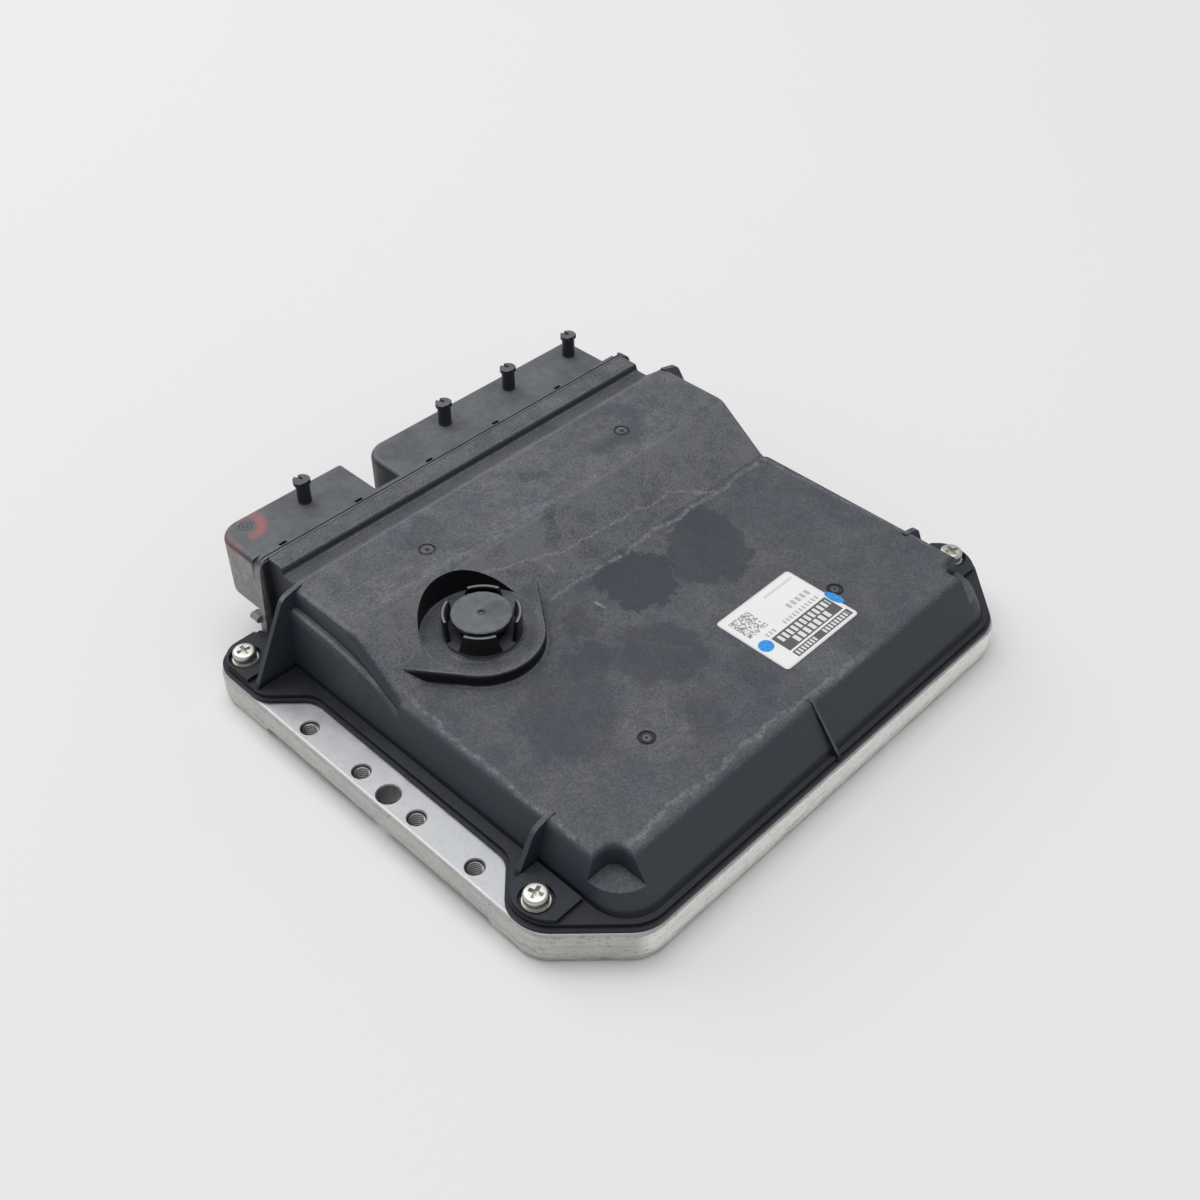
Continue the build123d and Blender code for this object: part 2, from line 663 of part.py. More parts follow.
def shoulder_section(y, z, inset):
    """Upright section across the case at one place of the shoulders' crest."""
    foot = shoulder_half_x(y, TRAY_HEIGHT) - inset
    top = shoulder_half_x(y, z) - inset
    points = [(-foot, TRAY_HEIGHT), (foot, TRAY_HEIGHT), (top, z - inset), (-top, z - inset)]
    rounding = max(SHOULDER_ROUND - inset, SHOULDER_ROUND / 4)
    return Plane.XZ.offset(-y) * outline(points, [0, 0, rounding, rounding])


def cover_body(inset):
    """The hollow part of the cover, or with an inset the space inside it."""
    low = loft([low_body_section(TRAY_HEIGHT, inset), low_body_section(LOW_TOP_Z - inset, inset)], ruled=True)
    high_points, high_radii = high_profile(inset)
    half_high = BODY_TOP_HALF_X - inset
    high = along_x(high_points, high_radii, -half_high, half_high)
    rear = RIDGE_REAR_Y - inset
    crest = [(SHOULDER_FADE_Y, LOW_TOP_Z - SHOULDER_FADE_DROP)]
    crest += [(SLOPE_FOOT_Y + along, LOW_TOP_Z + rise) for along, rise in SHOULDER_CREST]
    crest += [(rear, LOW_TOP_Z + SHOULDER_REAR_RISE)]
    shoulder = loft([shoulder_section(y, z, inset) for y, z in crest], ruled=True)
    if not inset:
        low = fillet(low.faces().sort_by(Axis.Z)[-1].edges(), LOW_EDGE_ROUND)
        high &= high_block()
    body = low + high + shoulder
    return body - both_sides(rear_side_space(inset, HIGH_TOP_Z))


def rear_side_space(grow, top):
    """The space beside the narrower rear end, behind the left rear gusset."""
    near = REAR_GUSSET_Y + GUSSET_T / 2 - grow
    inner = -REAR_HALF_X + grow
    points = [
        (inner, near),
        (inner, RIDGE_REAR_Y),
        (-CASE_HALF_X, RIDGE_REAR_Y),
        (-CASE_HALF_X, near),
    ]
    return slab(points, [REAR_END_ROUND, 0, 0, 0], FLANGE_TOP_Z - COVER_WALL * (grow > 0), top)


def side_top_edges(solid, half_x):
    """Edges along the top of the two side faces, from the low top up."""
    return [
        edge
        for edge in solid.edges()
        if abs(abs((edge @ 0.5).X) - half_x) < NEAR_BY and (edge @ 0.5).Z > LOW_TOP_Z - NEAR_BY
    ]


def vent_leaf(low, high):
    """The vent seat where it stands proud: a disc drawn out to a tip at each side."""
    disc = Pos(VENT_X, VENT_Y) * Circle(SEAT_R)
    seat = disc
    for side in (-1, 1):
        tip = Pos(VENT_X + side * SEAT_TIP_X, VENT_Y + SEAT_TIP_Y) * Circle(SEAT_TIP_R)
        seat += make_hull([*disc.edges(), *tip.edges()])
    leaf = Pos(0, 0, low) * extrude(seat, high - low)
    return fillet(leaf.faces().sort_by(Axis.Z)[-1].edges(), SEAT_EDGE_ROUND)


def make_cover():
    """Moulded cover: flange with four lugs, stepped hollow body, vent seat and gussets."""
    foot_points, foot_radii = flange_outline(0)
    top_points, top_radii = flange_outline(FLANGE_DRAFT)
    flange = slab(foot_points, foot_radii, TRAY_HEIGHT, TRAY_HEIGHT + FLANGE_T / 2)
    flange += slab(top_points, top_radii, TRAY_HEIGHT, FLANGE_TOP_Z)
    cover = flange + cover_body(0)
    cover += vent_leaf(LOW_TOP_Z - SEAT_FOOT, SEAT_Z) & near_of_slope()
    cover += both_sides(lug_pads())
    cover += both_sides(side_gusset(REAR_GUSSET_Y, LUG_HALF_X - REAR_GUSSET_EDGE, HIGH_TOP_Z))
    cover += both_sides(side_gusset(NEAR_GUSSET_Y, FLANGE_HALF_X + NEAR_GUSSET_REACH, LOW_TOP_Z))
    cover += middle_gusset()
    cover -= drum(SEAT_R, VENT_X, VENT_Y, SEAT_Z, HIGH_TOP_Z + 1)
    cover -= both_sides(corner_pocket(0) + pocket_edge())
    cavity = cover_body(COVER_WALL)
    cavity -= both_sides(corner_pocket(COVER_WALL))
    cavity -= drum(SEAT_R + COVER_WALL, VENT_X, VENT_Y, SEAT_Z - COVER_WALL, HIGH_TOP_Z)
    cavity += drum(SEAT_R - COVER_WALL, VENT_X, VENT_Y, TRAY_HEIGHT, SEAT_Z - COVER_WALL)
    cover -= cavity
    # The plug header passes through the rear wall.
    cover -= block(
        (-PLUG_BODY_HALF_X, PLUG_BODY_HALF_X),
        (RIDGE_REAR_Y - COVER_WALL - 1, RIDGE_REAR_Y),
        (TRAY_HEIGHT, PLUG_BODY_TOP_Z),
    )
    cover -= drum(SEAT_HOLE_R, VENT_X, VENT_Y, TRAY_HEIGHT, SEAT_Z)
    for x, y in screw_places():
        cover -= drum(SLEEVE_R, x, y, TRAY_HEIGHT, FLANGE_TOP_Z)
        cover -= drum(SCREW_SINK_R, x, y, FLANGE_TOP_Z, FLANGE_TOP_Z + PAD_RISE)
    for side in (-1, 1):
        cover -= mark_ring(side * MARK_X, MARK_HIGH_Y, HIGH_TOP_Z)
        cover -= mark_ring(side * MARK_X, MARK_LOW_Y, LOW_TOP_Z)
    return cover


def near_of_slope():
    """Everything on the near side of the vent seat's crossing with the slope."""
    crossing = SLOPE_FOOT_Y + (SEAT_Z - LOW_TOP_Z) / SLOPE_RISE
    return block((-CASE_HALF_X, CASE_HALF_X), (CASE_NEAR_Y, crossing + COVER_WALL), (0, HIGH_TOP_Z))


def lug_pads():
    """Raised pads around the two left screws, trimmed by the flange's edge."""
    points, radii = flange_outline(FLANGE_DRAFT + 0.5)
    trim = slab(points, radii, FLANGE_TOP_Z - 1, FLANGE_TOP_Z + PAD_RISE)
    pads = None
    for y in (SCREW_NEAR_Y, SCREW_REAR_Y):
        pad = block(
            (-LUG_HALF_X, -SCREW_X + PAD_HALF),
            (y - PAD_HALF, y + PAD_HALF),
            (FLANGE_TOP_Z - 1, FLANGE_TOP_Z + PAD_RISE),
        )
        pads = pad if pads is None else pads + pad
    return pads & trim


def side_gusset(y, reach, top):
    """A thin upright web from a lug to the top edge of the body."""
    inner = BODY_TOP_HALF_X - GUSSET_SINK
    points = [
        (-inner, FLANGE_TOP_Z - 1),
        (-inner, top + GUSSET_PROUD),
        (-BODY_TOP_HALF_X - GUSSET_SHOULDER, top - GUSSET_TOP_DROP),
        (-reach, FLANGE_TOP_Z - 1),
    ]
    return along_y(points, [0, 0, GUSSET_ROUND, 0], y - GUSSET_T / 2, y + GUSSET_T / 2)


def middle_gusset():
    """A thin web down the middle of the near wall."""
    points = [
        (BODY_FOOT_NEAR_Y - MIDDLE_GUSSET_REACH, FLANGE_TOP_Z - 1),
        (BODY_TOP_NEAR_Y + 2 * GUSSET_PROUD, LOW_TOP_Z + GUSSET_PROUD / 2),
        (BODY_TOP_NEAR_Y + MIDDLE_GUSSET_SINK, LOW_TOP_Z - 1.0),
        (BODY_FOOT_NEAR_Y + MIDDLE_GUSSET_SINK / 2, FLANGE_TOP_Z - 1),
    ]
    return along_x(points, [0] * 4, -GUSSET_T / 2, GUSSET_T / 2)


def corner_pocket(grow):
    """The left near corner that is cut down to a ledge."""
    points = [
        (-POCKET_X + grow, POCKET_Y + grow),
        (-POCKET_X + grow, CASE_NEAR_Y),
        (-CASE_HALF_X, CASE_NEAR_Y),
        (-CASE_HALF_X, POCKET_Y + grow),
    ]
    return slab(points, [POCKET_ROUND + grow, 0, 0, 0], POCKET_Z - grow, HIGH_TOP_Z)


def pocket_edge():
    """What the round along the top of a pocket's wall takes away."""
    reach = 2 * POCKET_EDGE_ROUND
    around = block(
        (-CASE_HALF_X, reach - POCKET_X),
        (CASE_NEAR_Y, POCKET_Y + reach),
        (POCKET_Z, LOW_TOP_Z),
    )
    kept = around - corner_pocket(0)
    edges = [
        edge
        for edge in kept.faces().sort_by(Axis.Z)[-1].edges()
        if (edge @ 0.5).X < reach / 4 - POCKET_X and (edge @ 0.5).Y < POCKET_Y + reach / 4
    ]
    return around - fillet(edges, POCKET_EDGE_ROUND)


def mark_ring(x, y, top):
    """A shallow round groove."""
    outer = drum(MARK_R, x, y, top - MARK_DEPTH, top + MARK_DEPTH)
    return outer - drum(MARK_R - MARK_WIDTH, x, y, top - MARK_DEPTH, top + MARK_DEPTH)


def shroud(left, right, left_round, right_round):
    """One open-fronted shroud around a plug bay."""
    back = PLATE_FRONT_Y
    points = [(left, back), (right, back), (right, SHROUD_FRONT_Y), (left, SHROUD_FRONT_Y)]
    tube = slab(points, [0, 0, right_round, left_round], SHROUD_BOTTOM_Z, SHROUD_TOP_Z)
    top_edges = tube.faces().sort_by(Axis.Z)[-1].edges()
    side_edges = [edge for edge in top_edges if min((edge @ 0.5).X - left, right - (edge @ 0.5).X) < NEAR_BY]
    return fillet(side_edges, SHROUD_EDGE_ROUND) + foot_round(right)


def foot_round(x):
    """The hollow round between a shroud's right side and the plate."""
    low = SHROUD_BOTTOM_Z + SHROUD_EDGE_ROUND
    high = SHROUD_TOP_Z - SHROUD_EDGE_ROUND
    front = PLATE_FRONT_Y + SHROUD_FOOT_ROUND
    web = block((x - SHROUD_WALL, x + SHROUD_FOOT_ROUND), (PLATE_FRONT_Y, front), (low, high))
    return web - drum(SHROUD_FOOT_ROUND, x + SHROUD_FOOT_ROUND, front, low, high)


def bay(left, right):
    """The space inside a shroud, open at the front."""
    return block(
        (left, right),
        (SHROUD_FRONT_Y - BAY_DEPTH, SHROUD_FRONT_Y),
        (SHROUD_BOTTOM_Z + SHROUD_WALL, SHROUD_TOP_Z - SHROUD_WALL),
    )


BAYS = {
    "short": (SHORT_SHROUD_LEFT_X + SHROUD_CORNER_ROUND, SHORT_SHROUD_RIGHT_X - SHROUD_WALL),
    "middle": (LONG_SHROUD_LEFT_X + SHROUD_CORNER_ROUND, LONG_PARTITION_X - SHROUD_WALL / 2),
    "end": (LONG_PARTITION_X + SHROUD_WALL / 2, LONG_SHROUD_RIGHT_X - SHROUD_WALL),
}


def make_header():
    """Plug header: plate, body through the cover's rear wall, two shrouds and their pegs."""
    plate = [
        (-PLATE_FOOT_HALF_X, TRAY_HEIGHT),
        (PLATE_FOOT_HALF_X, TRAY_HEIGHT),
        (PLATE_TOP_HALF_X, PLATE_TOP_Z),
        (-PLATE_TOP_HALF_X, PLATE_TOP_Z),
    ]
    header = along_y(plate, [0, 0, PLATE_ROUND, PLATE_ROUND], RIDGE_REAR_Y, PLATE_FRONT_Y)
    tab_left = -PLATE_FOOT_HALF_X - TAB_PROUD
    tab_low = TRAY_HEIGHT + TAB_LOW_RISE
    tab = [
        (tab_left, tab_low),
        (tab_left + TAB_LENGTH, tab_low),
        (tab_left + TAB_LENGTH, tab_low + TAB_HEIGHT),
        (tab_left, tab_low + TAB_HEIGHT),
    ]
    header += along_y(tab, [TAB_ROUND] * 4, PLATE_FRONT_Y - 1, PLATE_FRONT_Y + TAB_REACH)
    header += shroud(SHORT_SHROUD_LEFT_X, SHORT_SHROUD_RIGHT_X, SHROUD_CORNER_ROUND, SHROUD_SHARP_ROUND)
    header += shroud(LONG_SHROUD_LEFT_X, LONG_SHROUD_RIGHT_X, SHROUD_CORNER_ROUND, SHROUD_SHARP_ROUND)
    header += block(
        (-PLUG_BODY_HALF_X + SLEEVE_CLEARANCE, PLUG_BODY_HALF_X - SLEEVE_CLEARANCE),
        (RIDGE_REAR_Y - PLUG_BODY_DEPTH, RIDGE_REAR_Y),
        (TRAY_HEIGHT, PLUG_BODY_TOP_Z - SLEEVE_CLEARANCE),
    )
    for left, right in BAYS.values():
        header -= bay(left, right)
    slot_span = 2 * PLATE_TOP_HALF_X - PLATE_SLOT_LEFT - PLATE_SLOT_RIGHT
    for index in range(PLATE_SLOT_COUNT):
        x = PLATE_SLOT_LEFT - PLATE_TOP_HALF_X + index * slot_span / (PLATE_SLOT_COUNT - 1)
        header -= block(
            (x - PLATE_SLOT_LENGTH / 2, x + PLATE_SLOT_LENGTH / 2),
            (PLATE_FRONT_Y - PLATE_SLOT_BACK, PLATE_FRONT_Y - PLATE_SLOT_BACK + PLATE_SLOT_WIDTH),
            (PLATE_TOP_Z - PLATE_SLOT_DEPTH, PLATE_TOP_Z),
        )
    for y in (RIDGE_REAR_Y, PLATE_FRONT_Y - PLATE_LINE_BACK):
        line_y = (y, y + PLATE_LINE_WIDTH)
        line_z = (PLATE_TOP_Z - PLATE_LINE_DEPTH, PLATE_TOP_Z)
        header -= block((-PLATE_TOP_HALF_X, PLATE_TOP_HALF_X), line_y, line_z)
    long_first = LONG_SHROUD_LEFT_X + LONG_PEG_LEFT
    long_last = LONG_SHROUD_RIGHT_X - LONG_PEG_RIGHT
    for x in (SHORT_SHROUD_RIGHT_X - SHORT_PEG_EDGE, long_first, (long_first + long_last) / 2, long_last):
        header += peg(x)
    header -= plate_seal_groove()
    for pin in signal_pins() + power_pins():
        header -= pin
    return header


def peg(x):
    """A lever post above and below a shroud, each with a flat-sided head."""
    post = drum(PEG_R, x, PEG_Y, SHROUD_TOP_Z - 1, SHROUD_TOP_Z + PEG_HEIGHT)
    top = SHROUD_TOP_Z + PEG_HEIGHT
    head = drum(PEG_HEAD_R, x, PEG_Y, top - PEG_HEAD_T, top)
    y_range = (PEG_Y - PEG_HEAD_FLAT, PEG_Y + PEG_HEAD_R)
    head &= block((x - PEG_HEAD_R, x + PEG_HEAD_R), y_range, (top - PEG_HEAD_T, top))
    notch_y = (PEG_Y, PEG_Y + PEG_HEAD_R)
    notch = block((x - PEG_NOTCH_WIDTH / 2, x + PEG_NOTCH_WIDTH / 2), notch_y, (top - PEG_NOTCH_DEPTH, top))
    upper = post + head - notch
    middle_z = (SHROUD_TOP_Z + SHROUD_BOTTOM_Z) / 2
    return upper + mirror(upper, about=Plane.XY.offset(middle_z))


def plate_seal_groove():
    """Groove in the plate for the bead that seals it against the cover's rear wall."""
    half = (REAR_HALF_X + PLUG_BODY_HALF_X) / 2
    top = (RIDGE_Z + PLUG_BODY_TOP_Z) / 2 - PLATE_SEAL_DROP
    reach = PLATE_SEAL_WIDTH / 2
    y_range = (RIDGE_REAR_Y, RIDGE_REAR_Y + PLATE_SEAL_DEPTH)
    outer = block((-half - reach, half + reach), y_range, (TRAY_HEIGHT, top + reach))
    return outer - block((-half + reach, half - reach), y_range, (TRAY_HEIGHT, top - reach))


def pin_columns(left, right):
    """Even places for one bay's contact columns."""
    count = int((right - left - 2 * PIN_MARGIN) / PIN_PITCH) + 1
    middle = (left + right) / 2
    return [middle + (index - (count - 1) / 2) * PIN_PITCH for index in range(count)]


def bent_pin(x, row, width):
    """A pin that runs back from a bay and turns down onto the board."""
    z = SHROUD_BOTTOM_Z + PIN_ROW_FIRST + row * PIN_ROW_STEP
    tail_y = BOARD_REAR_Y - PIN_TAIL_EDGE - row * PIN_TAIL_STEP
    half = PIN_SIZE / 2
    across = (x - width / 2, x + width / 2)
    flat = block(across, (tail_y - half, SHROUD_FRONT_Y - PIN_TIP_BACK), (z - half, z + half))
    tail = block(across, (tail_y - half, tail_y + half), (BOARD_TOP_Z, z + half))
    return flat + tail


def bay_pins(name):
    left, right = BAYS[name]
    return [bent_pin(x, row, PIN_SIZE) for x in pin_columns(left, right) for row in range(PIN_ROW_COUNT)]


def signal_pins():
    return [pin for name in BAYS for pin in bay_pins(name)]


def power_pins():
    """Two wide blades at the left of each bay."""
    xs = [left + PIN_MARGIN / 2 for left, right in BAYS.values()]
    return [bent_pin(x, row, BLADE_WIDTH) for x in xs for row in (0, PIN_ROW_COUNT - 1)]


def make_board():
    """Circuit board with holes for its screws."""
    points = rectangle_points(BOARD_HALF_X, BOARD_NEAR_Y, BOARD_REAR_Y)
    board = slab(points, [TRAY_INNER_ROUND - BOARD_GAP] * 4, BOARD_Z, BOARD_TOP_Z)
    for x, y in board_screw_places():
        board -= drum(BOARD_SCREW_R, x, y, BOARD_Z, BOARD_TOP_Z)
    return board


def cross_drive(x, y, top):
    """Cross recess of a screw head."""
    arm = Box(DRIVE_SPAN, DRIVE_SLOT, DRIVE_DEPTH, align=(Align.CENTER, Align.CENTER, Align.MAX))
    return Pos(x, y, top) * (arm + Rot(0, 0, 90) * arm)


def make_cover_screws():
    head_z = screw_seat_z() + FLAT_WASHER_T + SPRING_WASHER_T
    screws = []
    for x, y in screw_places():
        head = drum(SCREW_HEAD_R, x, y, head_z, head_z + SCREW_HEAD_T)
        head = chamfer(head.edges().group_by(Axis.Z)[-1], SCREW_HEAD_EDGE)
        shank = drum(SCREW_SHANK_R, x, y, screw_seat_z() - SCREW_LENGTH, head_z)
        screws.append(head + shank - cross_drive(x, y, head_z + SCREW_HEAD_T))
    return group(screws)


def washer(x, y, low, thickness, radius):
    hole = SCREW_SHANK_R + WASHER_CLEARANCE
    return drum(radius, x, y, low, low + thickness) - drum(hole, x, y, low, low + thickness)


def make_flat_washers():
    return group([washer(x, y, screw_seat_z(), FLAT_WASHER_T, FLAT_WASHER_R) for x, y in screw_places()])


def make_spring_washers():
    """Split rings below the screw heads."""
    low = screw_seat_z() + FLAT_WASHER_T
    rings = []
    for x, y in screw_places():
        gap = block((x, x + SPRING_WASHER_R), (y, y + SPRING_WASHER_GAP), (low, low + SPRING_WASHER_T))
        rings.append(washer(x, y, low, SPRING_WASHER_T, SPRING_WASHER_R) - gap)
    return group(rings)


def make_sleeves():
    """Metal sleeves that take the clamping load through the plastic lugs."""
    hole = SCREW_SHANK_R + SLEEVE_CLEARANCE
    return group([
        drum(SLEEVE_R, x, y, TRAY_HEIGHT, FLANGE_TOP_Z) - drum(hole, x, y, TRAY_HEIGHT, FLANGE_TOP_Z)
        for x, y in screw_places()
    ])


def make_board_screws():
    screws = []
    for x, y in board_screw_places():
        head = drum(BOARD_SCREW_HEAD_R, x, y, BOARD_TOP_Z, BOARD_TOP_Z + BOARD_SCREW_HEAD_T)
        screws.append(head + drum(BOARD_SCREW_R, x, y, BOARD_TOP_Z - BOARD_SCREW_LENGTH, BOARD_TOP_Z))
    return group(screws)


def make_label():
    right = LABEL_LEFT_X + LABEL_LENGTH
    near = BODY_TOP_NEAR_Y + LABEL_NEAR_EDGE
    rear = near + LABEL_WIDTH
    points = [(LABEL_LEFT_X, near), (right, near), (right, rear), (LABEL_LEFT_X, rear)]
    return slab(points, [LABEL_ROUND] * 4, LOW_TOP_Z, LOW_TOP_Z + LABEL_T)


def wedge_face(degrees, z):
    """A triangle that opens from the vent's axis."""
    half_angle = radians(degrees / 2)
    reach = 2 * GUARD_R
    across = reach * sin(half_angle)
    along = reach * cos(half_angle)
    return Pos(0, 0, z) * make_face(Polyline((0, 0), (along, -across), (along, across), close=True))


def make_vent_guard():
    """Ring on the vent seat with four upright petals and a neck for the cap."""
    top = SEAT_Z + GUARD_RING_T
    guard = drum(GUARD_R, VENT_X, VENT_Y, SEAT_Z, top)
    shell = drum(GUARD_R, VENT_X, VENT_Y, SEAT_Z, SEAT_Z + GUARD_HEIGHT)
    shell -= drum(GUARD_R - GUARD_WALL, VENT_X, VENT_Y, SEAT_Z, SEAT_Z + GUARD_HEIGHT)
    for index in range(4):
        faces = [wedge_face(GUARD_FOOT_DEGREES, 0), wedge_face(GUARD_TOP_DEGREES, GUARD_HEIGHT)]
        wedge = loft(faces, ruled=True)
        guard += shell & (Pos(VENT_X, VENT_Y, SEAT_Z) * Rot(0, 0, 45 + 90 * index) * wedge)
    guard += drum(VENT_NECK_R, VENT_X, VENT_Y, SEAT_Z, SEAT_Z + VENT_NECK_HEIGHT)
    spigot = drum(SEAT_HOLE_R, VENT_X, VENT_Y, SEAT_Z - VENT_SPIGOT_DEPTH, SEAT_Z)
    guard += spigot
    bore_low = SEAT_Z - VENT_SPIGOT_DEPTH
    guard -= drum(CAP_STEM_R - VENT_RING_T, VENT_X, VENT_Y, bore_low, SEAT_Z + VENT_NECK_HEIGHT)
    guard -= drum(CAP_STEM_R, VENT_X, VENT_Y, SEAT_Z + GUARD_RING_T, SEAT_Z + VENT_NECK_HEIGHT)
    return guard


def make_vent_membrane():
    """Breathing film on the step inside the neck."""
    low = SEAT_Z + GUARD_RING_T
    return drum(MEMBRANE_R, VENT_X, VENT_Y, low, low + MEMBRANE_T)


def make_vent_clamp():
    """Ring that holds the film down."""
    low = SEAT_Z + GUARD_RING_T + MEMBRANE_T
    ring = drum(CAP_STEM_R, VENT_X, VENT_Y, low, low + VENT_RING_T)
    return ring - drum(CAP_STEM_R - VENT_RING_T, VENT_X, VENT_Y, low, low + VENT_RING_T)


def make_vent_seal():
    """Rubber ring between the guard and the cover, around the spigot."""
    low = SEAT_Z - COVER_WALL - VENT_RING_T / 2
    ring = drum(SEAT_HOLE_R + VENT_RING_T, VENT_X, VENT_Y, low, SEAT_Z - COVER_WALL)
    return ring - drum(SEAT_HOLE_R, VENT_X, VENT_Y, low, SEAT_Z - COVER_WALL)


def make_vent_cap():
    """Faceted disc over the neck, on a short stem that stands on the film's ring."""
    top = SEAT_Z + CAP_TOP
    disc = Pos(VENT_X, VENT_Y, top - CAP_T) * extrude(RegularPolygon(CAP_R, CAP_SIDES), CAP_T)
    disc = chamfer(disc.edges().group_by(Axis.Z)[-1], CAP_T / 5)
    low = SEAT_Z + GUARD_RING_T + MEMBRANE_T + VENT_RING_T
    stem = drum(CAP_STEM_R, VENT_X, VENT_Y, low, top - CAP_T)
    stem -= drum(CAP_STEM_R - VENT_RING_T, VENT_X, VENT_Y, low, top - CAP_T)
    stem -= block(
        (VENT_X - CAP_STEM_R, VENT_X + CAP_STEM_R),
        (VENT_Y - VENT_RING_T / 2, VENT_Y + VENT_RING_T / 2),
        (SEAT_Z + VENT_NECK_HEIGHT, top - CAP_T),
    )
    dimple = drum(CAP_DIMPLE_R, VENT_X, VENT_Y, top - CAP_DIMPLE_DEPTH, top)
    return disc + stem - dimple


def make_plate_seal():
    return plate_seal_groove()


def make_tray_seal():
    return seal_loop(TRAY_HEIGHT - SEAL_DEPTH, TRAY_HEIGHT)


def chip(x, y, length, width, height):
    """A plain package standing on the board."""
    x_range = (x - length / 2, x + length / 2)
    return block(x_range, (y - width / 2, y + width / 2), (BOARD_TOP_Z, BOARD_TOP_Z + height))


def make_micro():
    return chip(MICRO_X, SLOPE_FOOT_Y, MICRO_SIZE, MICRO_SIZE, CHIP_HEIGHT)


def make_memory():
    return chip(MEMORY_X, SLOPE_FOOT_Y, MICRO_SIZE / 2, MICRO_SIZE / 2, CHIP_HEIGHT)


def make_pressure_sensor():
    """Sensor below the vent plug."""
    return chip(VENT_X, VENT_Y, DRIVER_WIDTH, DRIVER_WIDTH, 2 * CHIP_HEIGHT)


def make_crystal():
    return chip(MICRO_X, SLOPE_FOOT_Y - MICRO_SIZE, MICRO_SIZE / 2, MICRO_SIZE / 5, 2 * CHIP_HEIGHT)


def make_drivers():
    """A row of driver chips between the can capacitors, and one nearer at its left end."""
    rear = BOARD_REAR_Y - DRIVER_REAR_EDGE
    right = CAPACITOR_X - CAPACITOR_R - CHIP_ROW_GAP - DRIVER_LENGTH / 2
    left = capacitor_xs()[-2] + CAPACITOR_R + DRIVER_LEFT_GAP + DRIVER_LENGTH / 2
    pitch = (right - left) / (DRIVER_COUNT - 1)
    places = [(left + index * pitch, rear) for index in range(DRIVER_COUNT)]
    places.append((left, rear - DRIVER_ROW_PITCH))
    return group([chip(x, y, DRIVER_LENGTH, DRIVER_WIDTH, CHIP_HEIGHT) for x, y in places])


def capacitor_xs():
    """Places along X of the can capacitors: a group at the left and one at the right."""
    left = [index * CAPACITOR_PITCH - CAPACITOR_X for index in range(LEFT_CAPACITOR_COUNT)]
    return left + [CAPACITOR_X]


def make_capacitors():
    """Tall can capacitors on square bases, under the high part of the cover."""
    y = SLOPE_HEAD_Y + CAPACITOR_R
    cans = []
    for x in capacitor_xs():
        base = chip(x, y, 2 * CAPACITOR_R, 2 * CAPACITOR_R, CAPACITOR_BASE)
        base_top = BOARD_TOP_Z + CAPACITOR_BASE
        can = drum(CAPACITOR_R - SLEEVE_CLEARANCE, x, y, base_top, base_top + CAPACITOR_HEIGHT)
        cans.append(base + chamfer(can.edges().group_by(Axis.Z)[-1], CAPACITOR_EDGE))
    return group(cans)


def make_inductors():
    x = INDUCTOR_SIZE * 1.5 - BOARD_HALF_X
    coils = []
    for y in (SLOPE_FOOT_Y - COIL_PITCH, SLOPE_FOOT_Y):
        coil = chip(x, y, INDUCTOR_SIZE, INDUCTOR_SIZE, INDUCTOR_HEIGHT)
        coils.append(chamfer(coil.edges().filter_by(Axis.Z), INDUCTOR_SIZE / 6))
    return group(coils)


def small_row(y, count):
    """A row of small parts side by side along X."""
    chips = [chip(index * SMALL_PITCH, y, SMALL_WIDTH, SMALL_LENGTH, SMALL_HEIGHT) for index in range(count)]
    return group(chips)


def make_ceramic_capacitors():
    return small_row(SLOPE_FOOT_Y - 1.5 * MICRO_SIZE, 10)


def make_resistors():
    return small_row(SLOPE_FOOT_Y + 0.7 * MICRO_SIZE, 8)


def make_power_parts():
    """Power packages with a metal tab below."""
    packages = []
    for x, y in power_places():
        body = chip(x, y, POWER_LENGTH * 0.8, POWER_WIDTH * 0.7, POWER_HEIGHT)
        packages.append(body + chip(x, y, POWER_LENGTH * 0.8, POWER_WIDTH * 0.95, POWER_TAB_T))
    return group(packages)


def make_thermal_pads():
    """Soft pads between the board and the tray's pedestals."""
    return group([power_block(x, y, BOARD_Z - THERMAL_PAD_T, BOARD_Z) for x, y in power_places()])


def make_diodes():
    """A row of diodes behind the power parts."""
    left, near = power_places()[0]
    y = near + 2 * POWER_WIDTH
    row = [chip(left + index * DIODE_PITCH, y, DIODE_LENGTH, DIODE_WIDTH, DIODE_HEIGHT) for index in range(4)]
    return group(row)


NODES = {
    "base_tray": make_tray,
    "cover": make_cover,
    "plug_header": make_header,
    "tray_seal": make_tray_seal,
    "header_seal": make_plate_seal,
    "circuit_board": make_board,
    "cover_screws": make_cover_screws,
    "spring_washers": make_spring_washers,
    "flat_washers": make_flat_washers,
    "screw_sleeves": make_sleeves,
    "board_screws": make_board_screws,
    "pins_short_bay": lambda: group(bay_pins("short")),
    "pins_middle_bay": lambda: group(bay_pins("middle")),
    "pins_end_bay": lambda: group(bay_pins("end")),
    "power_pins": lambda: group(power_pins()),
    "label": make_label,
    "vent_guard": make_vent_guard,
    "vent_cap": make_vent_cap,
    "vent_membrane": make_vent_membrane,
    "vent_clamp_ring": make_vent_clamp,
    "vent_seal": make_vent_seal,
    "microcontroller": make_micro,
    "memory_chip": make_memory,
    "pressure_sensor": make_pressure_sensor,
    "clock_crystal": make_crystal,
    "driver_chips": make_drivers,
    "power_transistors": make_power_parts,
    "thermal_pads": make_thermal_pads,
    "can_capacitors": make_capacitors,
    "power_inductors": make_inductors,
    "diodes": make_diodes,
    "ceramic_capacitors": make_ceramic_capacitors,
    "resistors": make_resistors,
}

for name, build in NODES.items():
    export_step(build(), f"parts/{name}.step")
    print(name)
